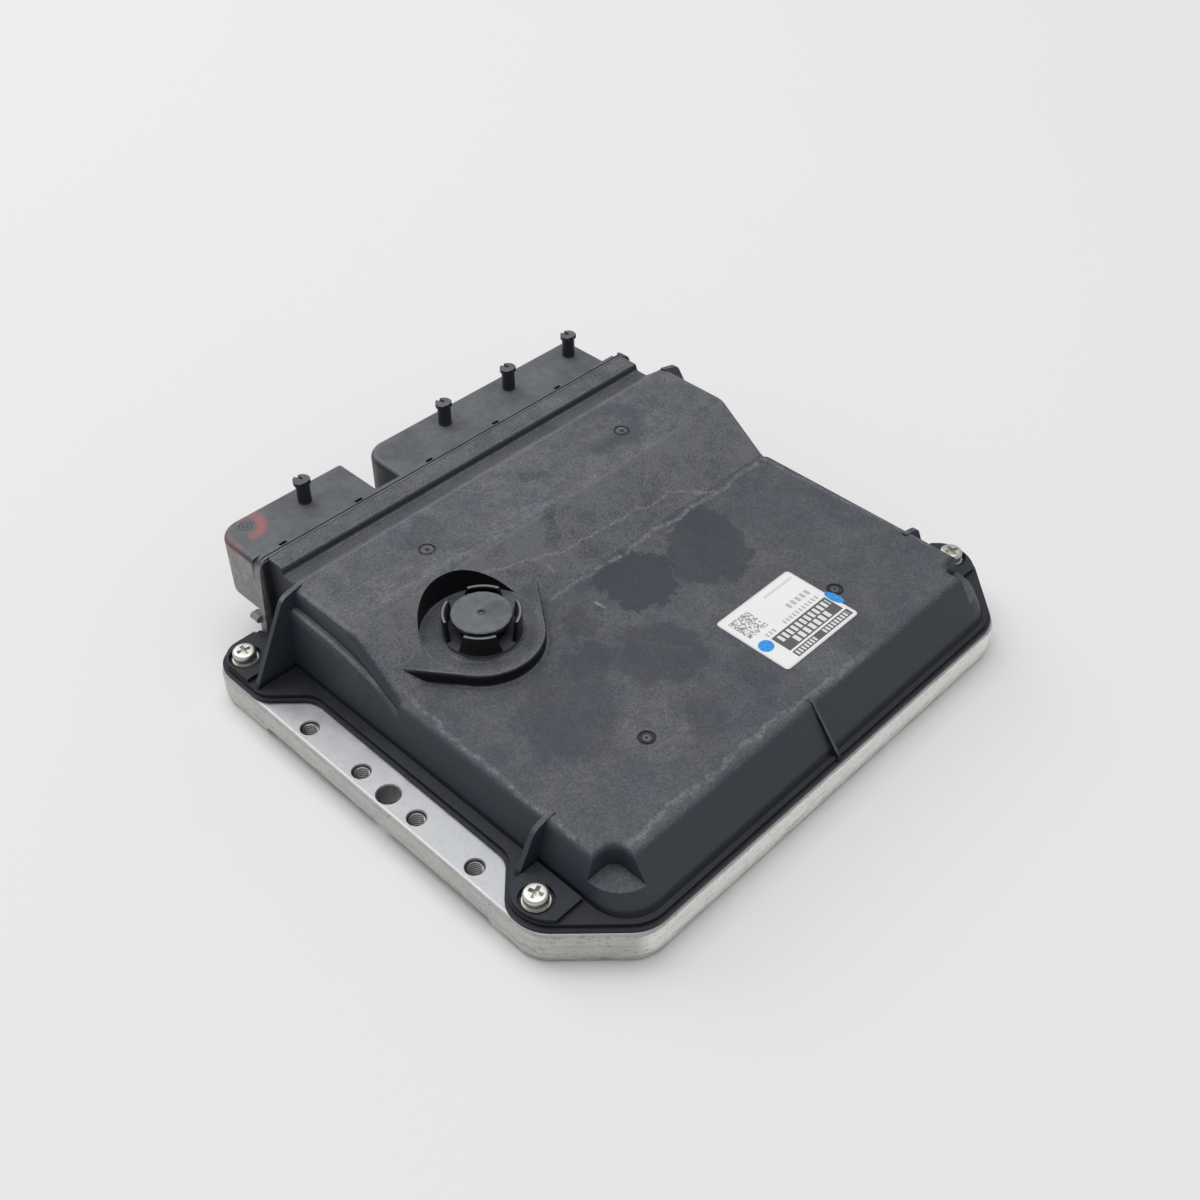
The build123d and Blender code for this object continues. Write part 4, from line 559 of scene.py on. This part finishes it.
# %% Label print
LABEL_X, LABEL_Y = 24.5, -57.8
CELL = 0.42
label = Finish("label_film", Roughness=0.4, IOR=1.5)


def printed(x_low, x_high, y_low, y_high):
    """1 inside an upright block of the print."""
    return label.band(label.x, x_low, x_high, 0.12) * label.band(label.y, y_low, y_high, 0.12)


def block_row(y_low, y_high, x_low, x_high, pitch, share):
    """A row of equal short blocks, such as fine print seen from far off."""
    beat = label.node("Math", {"operation": "FRACT"}, {0: (label.x - x_low) / pitch})
    return printed(x_low, x_high, y_low, y_high) * label.band(beat, 0.06, share, 0.05)


dark = printed(13.1, 41.6, -68.0, -60.1) + printed(13.1, 42.2, -71.8, -68.9)
white_rows = block_row(-63.8, -60.9, 14.8, 40.6, 2.3, 0.62) + block_row(-67.4, -64.5, 18.4, 37.0, 2.7, 0.66)
white_rows = white_rows + block_row(-71.3, -69.4, 13.8, 23.8, 1.5, 0.6)
white_rows = white_rows + block_row(-71.3, -69.4, 28.0, 41.0, 1.6, 0.6)
grey_rows = block_row(-59.0, -57.3, 22.0, 40.6, 1.7, 0.52) + block_row(-59.0, -57.3, 13.0, 18.0, 1.7, 0.52)
grey_rows = grey_rows + block_row(-55.4, -53.0, 29.0, 41.0, 2.4, 0.58)
grey_rows = grey_rows + block_row(-46.2, -45.2, 27.0, 41.6, 0.8, 0.5)
cell_place = label.node("VectorMath", {"operation": "SNAP"}, {0: label.place, 1: (CELL, CELL, 1.0)})
cell_shade = label.node("TexWhiteNoise", {}, {0: cell_place})
cells = label.smooth(cell_shade, 0.48, 0.52) * printed(8.2, 17.6, -55.1, -45.7)
ink = dark * (1 - label.smooth(white_rows, 0.2, 0.8) * 0.86) + grey_rows * 0.48 + cells * 0.75
# The label is greyer along its ends and edges.
end_grey = label.smooth(abs(label.x - LABEL_X), 17.9, 18.9)
edge_grey = end_grey.most(label.smooth(abs(label.y - LABEL_Y), 14.3, 15.3))
paper = label.mix(label.noise(12.0, 4.0), grey(0.86, (1.0, 0.995, 0.97)), grey(0.93, (1.0, 0.995, 0.975)))
paper = label.mix(edge_grey * 0.45, paper, grey(0.52, (0.97, 0.99, 1.0)))
label.feed(Base_Color=label.mix(ink.least(1.0) * 0.93, paper, grey(0.05, (0.98, 1.0, 0.99))))
label.dress("label")

# %% [markdown]
# ## Screw heads
# The CAD screws are plain. A real one has a domed rim and a cross recess with tapered arms, so one
# is modelled in edit mode from a cylinder: its rim is bevelled, its shank is extruded from an inset
# of the underside, and two tapered bars are cut out for the cross. Four copies take the places of
# the CAD screws.

# %% Helpers for modelling
def only(piece):
    """Deselect all, then make one piece the active one."""
    bpy.ops.object.select_all(action="DESELECT")
    piece.select_set(True)
    bpy.context.view_layer.objects.active = piece


def pick_faces(piece, test):
    """Select the faces whose centre and normal pass a test, in edit mode."""
    bpy.ops.object.mode_set(mode="OBJECT")
    for face in piece.data.polygons:
        face.select = test(face.center, face.normal)
    for edge in piece.data.edges:
        edge.select = False
    for vertex in piece.data.vertices:
        vertex.select = False
    for face in piece.data.polygons:
        if face.select:
            for index in face.vertices:
                piece.data.vertices[index].select = True
    bpy.ops.object.mode_set(mode="EDIT")
    bpy.ops.mesh.select_mode(type="FACE")


def ready(piece, name, finish, smooth_degrees=35.0):
    """Name a piece, put its place into its mesh, shade it, and let it ride on the object."""
    only(piece)
    bpy.ops.object.transform_apply(location=True, rotation=True, scale=True)
    bpy.ops.object.shade_smooth_by_angle(angle=math.radians(smooth_degrees))
    piece.name = name
    piece.data.materials.clear()
    piece.data.materials.append(finish.material)
    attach(piece, "root")
    return piece


# %% One screw
HEAD_R = 0.0040
HEAD_LOW = 0.0179
HEAD_TOP = 0.0206
SHANK_R = 0.0020
SHANK_LOW = 0.0030
RIM_ROUND = 0.0011

bpy.ops.object.select_all(action="DESELECT")
bpy.ops.mesh.primitive_cylinder_add(vertices=48, radius=HEAD_R, depth=HEAD_TOP - HEAD_LOW)
screw = bpy.context.object
screw.location = (0, 0, (HEAD_TOP + HEAD_LOW) / 2)
only(screw)
bpy.ops.object.transform_apply(location=True)
pick_faces(screw, lambda centre, normal: normal.z > 0.9)
bpy.ops.mesh.bevel(offset=RIM_ROUND, segments=5, affect="EDGES", profile=0.5)
pick_faces(screw, lambda centre, normal: normal.z < -0.9)
bpy.ops.mesh.inset(thickness=HEAD_R - SHANK_R)
bpy.ops.mesh.extrude_region_move(TRANSFORM_OT_translate={"value": (0, 0, SHANK_LOW - HEAD_LOW)})
bpy.ops.object.mode_set(mode="OBJECT")
print("screw blank has", len(screw.data.polygons), "faces")

# %% Cross recess
BAR_SIZE = (0.0064, 0.0016, 0.0036)
BAR_FOOT = (0.5, 0.7, 1.0)


def recess_bar(degrees):
    """One bar of the cross: it narrows towards its foot."""
    bpy.ops.object.select_all(action="DESELECT")
    bpy.ops.mesh.primitive_cube_add(size=1, location=(0, 0, HEAD_TOP))
    bar = bpy.context.object
    bar.scale = BAR_SIZE
    only(bar)
    bpy.ops.object.transform_apply(location=True, scale=True)
    pick_faces(bar, lambda centre, normal: normal.z < -0.9)
    bpy.ops.transform.resize(value=BAR_FOOT)
    bpy.ops.object.mode_set(mode="OBJECT")
    bar.rotation_euler.z = math.radians(degrees)
    return bar


def cut(piece, cutter):
    """Take a cutter away from a piece and delete the cutter."""
    only(piece)
    boolean = piece.modifiers.new("cut", "BOOLEAN")
    boolean.operation = "DIFFERENCE"
    boolean.solver = "EXACT"
    boolean.object = cutter
    bpy.ops.object.modifier_apply(modifier="cut")
    bpy.data.objects.remove(cutter)


for degrees in (0, 90):
    cut(screw, recess_bar(degrees))
print("screw with its recess has", len(screw.data.polygons), "faces")

# %% Four screws in place
SCREW_X = 0.1056
SCREW_Y = 0.0709
SCREW_PLACES = {
    "near_left": (-SCREW_X, -SCREW_Y, 20),
    "near_right": (SCREW_X, -SCREW_Y, 65),
    "rear_left": (-SCREW_X, SCREW_Y, -12),
    "rear_right": (SCREW_X, SCREW_Y, 40),
}
for corner, (x, y, degrees) in SCREW_PLACES.items():
    copy = screw.copy()
    copy.data = screw.data.copy()
    scene.collection.objects.link(copy)
    copy.location = (x, y, 0)
    copy.rotation_euler.z = math.radians(degrees)
    ready(copy, "cover_screw_" + corner, zinc)
    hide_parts("cover_screws")
bpy.data.objects.remove(screw)

# %% [markdown]
# ## Thread turns
# Four of the arm's holes are tapped. A tooth with three sides is swept round and up by a Screw
# modifier, which gives true turns that can be seen from above and from below. The crests get a
# painted highlight and the valleys between them painted shade.

# %% Tapped holes
TAPPED_HOLES = {"near_end": -0.0473, "near_middle": -0.0207, "rear_middle": 0.0061, "rear_end": 0.0327}
THREAD_PITCH = 0.0010
THREAD_LOW = 0.0052
THREAD_TURNS = 7
TOOTH_R = 0.00286
QUARTER = math.radians(90)


def thread_turns(y, name):
    bpy.ops.object.select_all(action="DESELECT")
    bpy.ops.mesh.primitive_circle_add(vertices=3, radius=THREAD_PITCH * 0.52, fill_type="NOTHING")
    tooth = bpy.context.object
    tooth.rotation_euler = (QUARTER, QUARTER, 0)
    tooth.location = (-TOOTH_R, 0, THREAD_LOW)
    only(tooth)
    bpy.ops.object.transform_apply(location=True, rotation=True)
    turns = tooth.modifiers.new("turns", "SCREW")
    turns.axis = "Z"
    turns.screw_offset = THREAD_PITCH
    turns.iterations = THREAD_TURNS
    turns.steps = 24
    turns.render_steps = 24
    bpy.ops.object.modifier_apply(modifier="turns")
    bpy.ops.object.mode_set(mode="EDIT")
    bpy.ops.mesh.select_all(action="SELECT")
    bpy.ops.mesh.fill_holes(sides=3)
    bpy.ops.mesh.normals_make_consistent(inside=False)
    bpy.ops.object.mode_set(mode="OBJECT")
    tooth.location = (ARM_HOLE_X / 1000.0, y, 0)
    return ready(tooth, name, cut_metal)


cut_metal = Finish("tapped_aluminium", Metallic=1.0, Roughness=0.38)
from_hole = None
for y in TAPPED_HOLES.values():
    away = distance(cut_metal, ARM_HOLE_X, y * 1000.0)
    from_hole = away if from_hole is None else from_hole.least(away)
# Painted highlight and painted shade: pale on the crests of the turns, near-black in the valleys between
# them.
crest_light_valley_shade = cut_metal.smooth(from_hole, 2.72, 2.45)
cut_metal.feed(Base_Color=cut_metal.mix(crest_light_valley_shade, grey(0.05), grey(0.50, (1.02, 1.0, 0.97))))
for place, y in TAPPED_HOLES.items():
    thread = thread_turns(y, "thread_" + place)
    print(thread.name, len(thread.data.polygons), "faces")

# %% [markdown]
# ## Web on the near wall
# In the photograph the thin web down the near wall stands proud from its foot up to the crest. A
# block gets its lean by moving its top face back, and its edges are bevelled.

# %% Near web
WEB_SIZE = (0.0013, 0.0034, 0.0166)
WEB_FOOT = (0, -0.0990, 0.0240)
WEB_LEAN = 0.0127
bpy.ops.object.select_all(action="DESELECT")
bpy.ops.mesh.primitive_cube_add(size=1, location=WEB_FOOT)
web = bpy.context.object
web.scale = WEB_SIZE
only(web)
bpy.ops.object.transform_apply(location=True, scale=True)
pick_faces(web, lambda centre, normal: normal.z > 0.9)
bpy.ops.transform.translate(value=(0, WEB_LEAN, 0))
bpy.ops.transform.resize(value=(0.75, 0.7, 1.0))
bpy.ops.mesh.select_all(action="SELECT")
bpy.ops.mesh.bevel(offset=0.0002, segments=2, affect="EDGES")
bpy.ops.object.mode_set(mode="OBJECT")
ready(web, "near_web", cover)
print("near web has", len(web.data.polygons), "faces")

# %% [markdown]
# ## Paint dots
# Two dabs of blue paint sit on the label and its edge. A dab is a thin, uneven pool: a disc that is
# raised, pinched in towards its top, pushed about by chance in edit mode and then subdivided.

# %% Blue dabs
blue = Finish("blue_paint", Roughness=0.25, IOR=1.5)
blue_drift = blue.smooth(blue.noise(1.3, 3.0), 0.35, 0.65)
blue.feed(Base_Color=blue.mix(blue_drift, (0.03, 0.27, 0.74, 1.0), (0.05, 0.36, 0.85, 1.0)))
blue.feed(Normal=blue.bump(blue.noise(0.9, 2.0), 0.12, 0.6))


DAB_HEIGHT = 0.00012
DAB_Z = 0.03214


def paint_dab(place, size, degrees, seed, name):
    bpy.ops.object.select_all(action="DESELECT")
    bpy.ops.mesh.primitive_circle_add(vertices=12, radius=1.0, fill_type="NGON")
    dab = bpy.context.object
    only(dab)
    bpy.ops.object.mode_set(mode="EDIT")
    bpy.ops.mesh.select_all(action="SELECT")
    bpy.ops.mesh.extrude_region_move(TRANSFORM_OT_translate={"value": (0, 0, 0.6)})
    bpy.ops.mesh.inset(thickness=0.15, depth=0.3)
    bpy.ops.mesh.select_all(action="SELECT")
    bpy.ops.transform.vertex_random(offset=0.09, uniform=0.0, normal=0.0, seed=seed)
    bpy.ops.mesh.normals_make_consistent(inside=False)
    bpy.ops.object.mode_set(mode="OBJECT")
    pool = dab.modifiers.new("pool", "SUBSURF")
    pool.levels = 3
    bpy.ops.object.modifier_apply(modifier="pool")
    dab.scale = (*size, DAB_HEIGHT)
    dab.rotation_euler.z = math.radians(degrees)
    dab.location = (*place, DAB_Z)
    ready(dab, name, blue)
    print(name, "has", len(dab.data.polygons), "faces")


paint_dab((0.0093, -0.0610), (0.0030, 0.0028), 20, 3, "blue_dab_near")
paint_dab((0.0438, -0.0626), (0.0041, 0.0019), 97, 8, "blue_dab_far")

# %% [markdown]
# ## Table and light
# The unit lies on a plain pale table in a soft, even light that comes mostly from above and from the
# left and back of the picture. The lamps are large and stand far off, so the shadow under the unit is
# faint and has no hard edge.

# %% Table
bpy.ops.object.select_all(action="DESELECT")
bpy.ops.mesh.primitive_plane_add(size=8.0, location=(0.6, 0.6, -0.00005))
table = bpy.context.object
table.name = "table"
table_top = Finish("table_top", Roughness=0.75)
WARM = (1.0, 0.995, 0.98)
drift = table_top.noise(400.0, 2.0)
table_top.feed(Base_Color=table_top.mix(drift, grey(0.845, WARM), grey(0.86, WARM)))
table.data.materials.append(table_top.material)
print("table ready")

# %% Lamps and world
def soft_lamp(name, place, size, watts):
    """A square lamp that shines at the object."""
    bpy.ops.object.light_add(type="AREA", location=place)
    lamp = bpy.context.object
    lamp.name = name
    lamp.data.shape = "SQUARE"
    lamp.data.size = size
    lamp.data.energy = watts
    lamp.rotation_euler = (-Vector(place)).to_track_quat("-Z", "Y").to_euler()


soft_lamp("lamp_back_left", (-0.3, 3.2, 2.8), 3.2, 54.0)
soft_lamp("lamp_top", (0.15, 0.4, 3.4), 2.8, 54.0)

world = bpy.data.worlds.new("studio")
scene.world = world
world.use_nodes = True
background = world.node_tree.nodes["Background"]
background.inputs["Color"].default_value = (0.95, 0.97, 1.0, 1.0)
background.inputs["Strength"].default_value = 0.42
print("lamps and world ready")
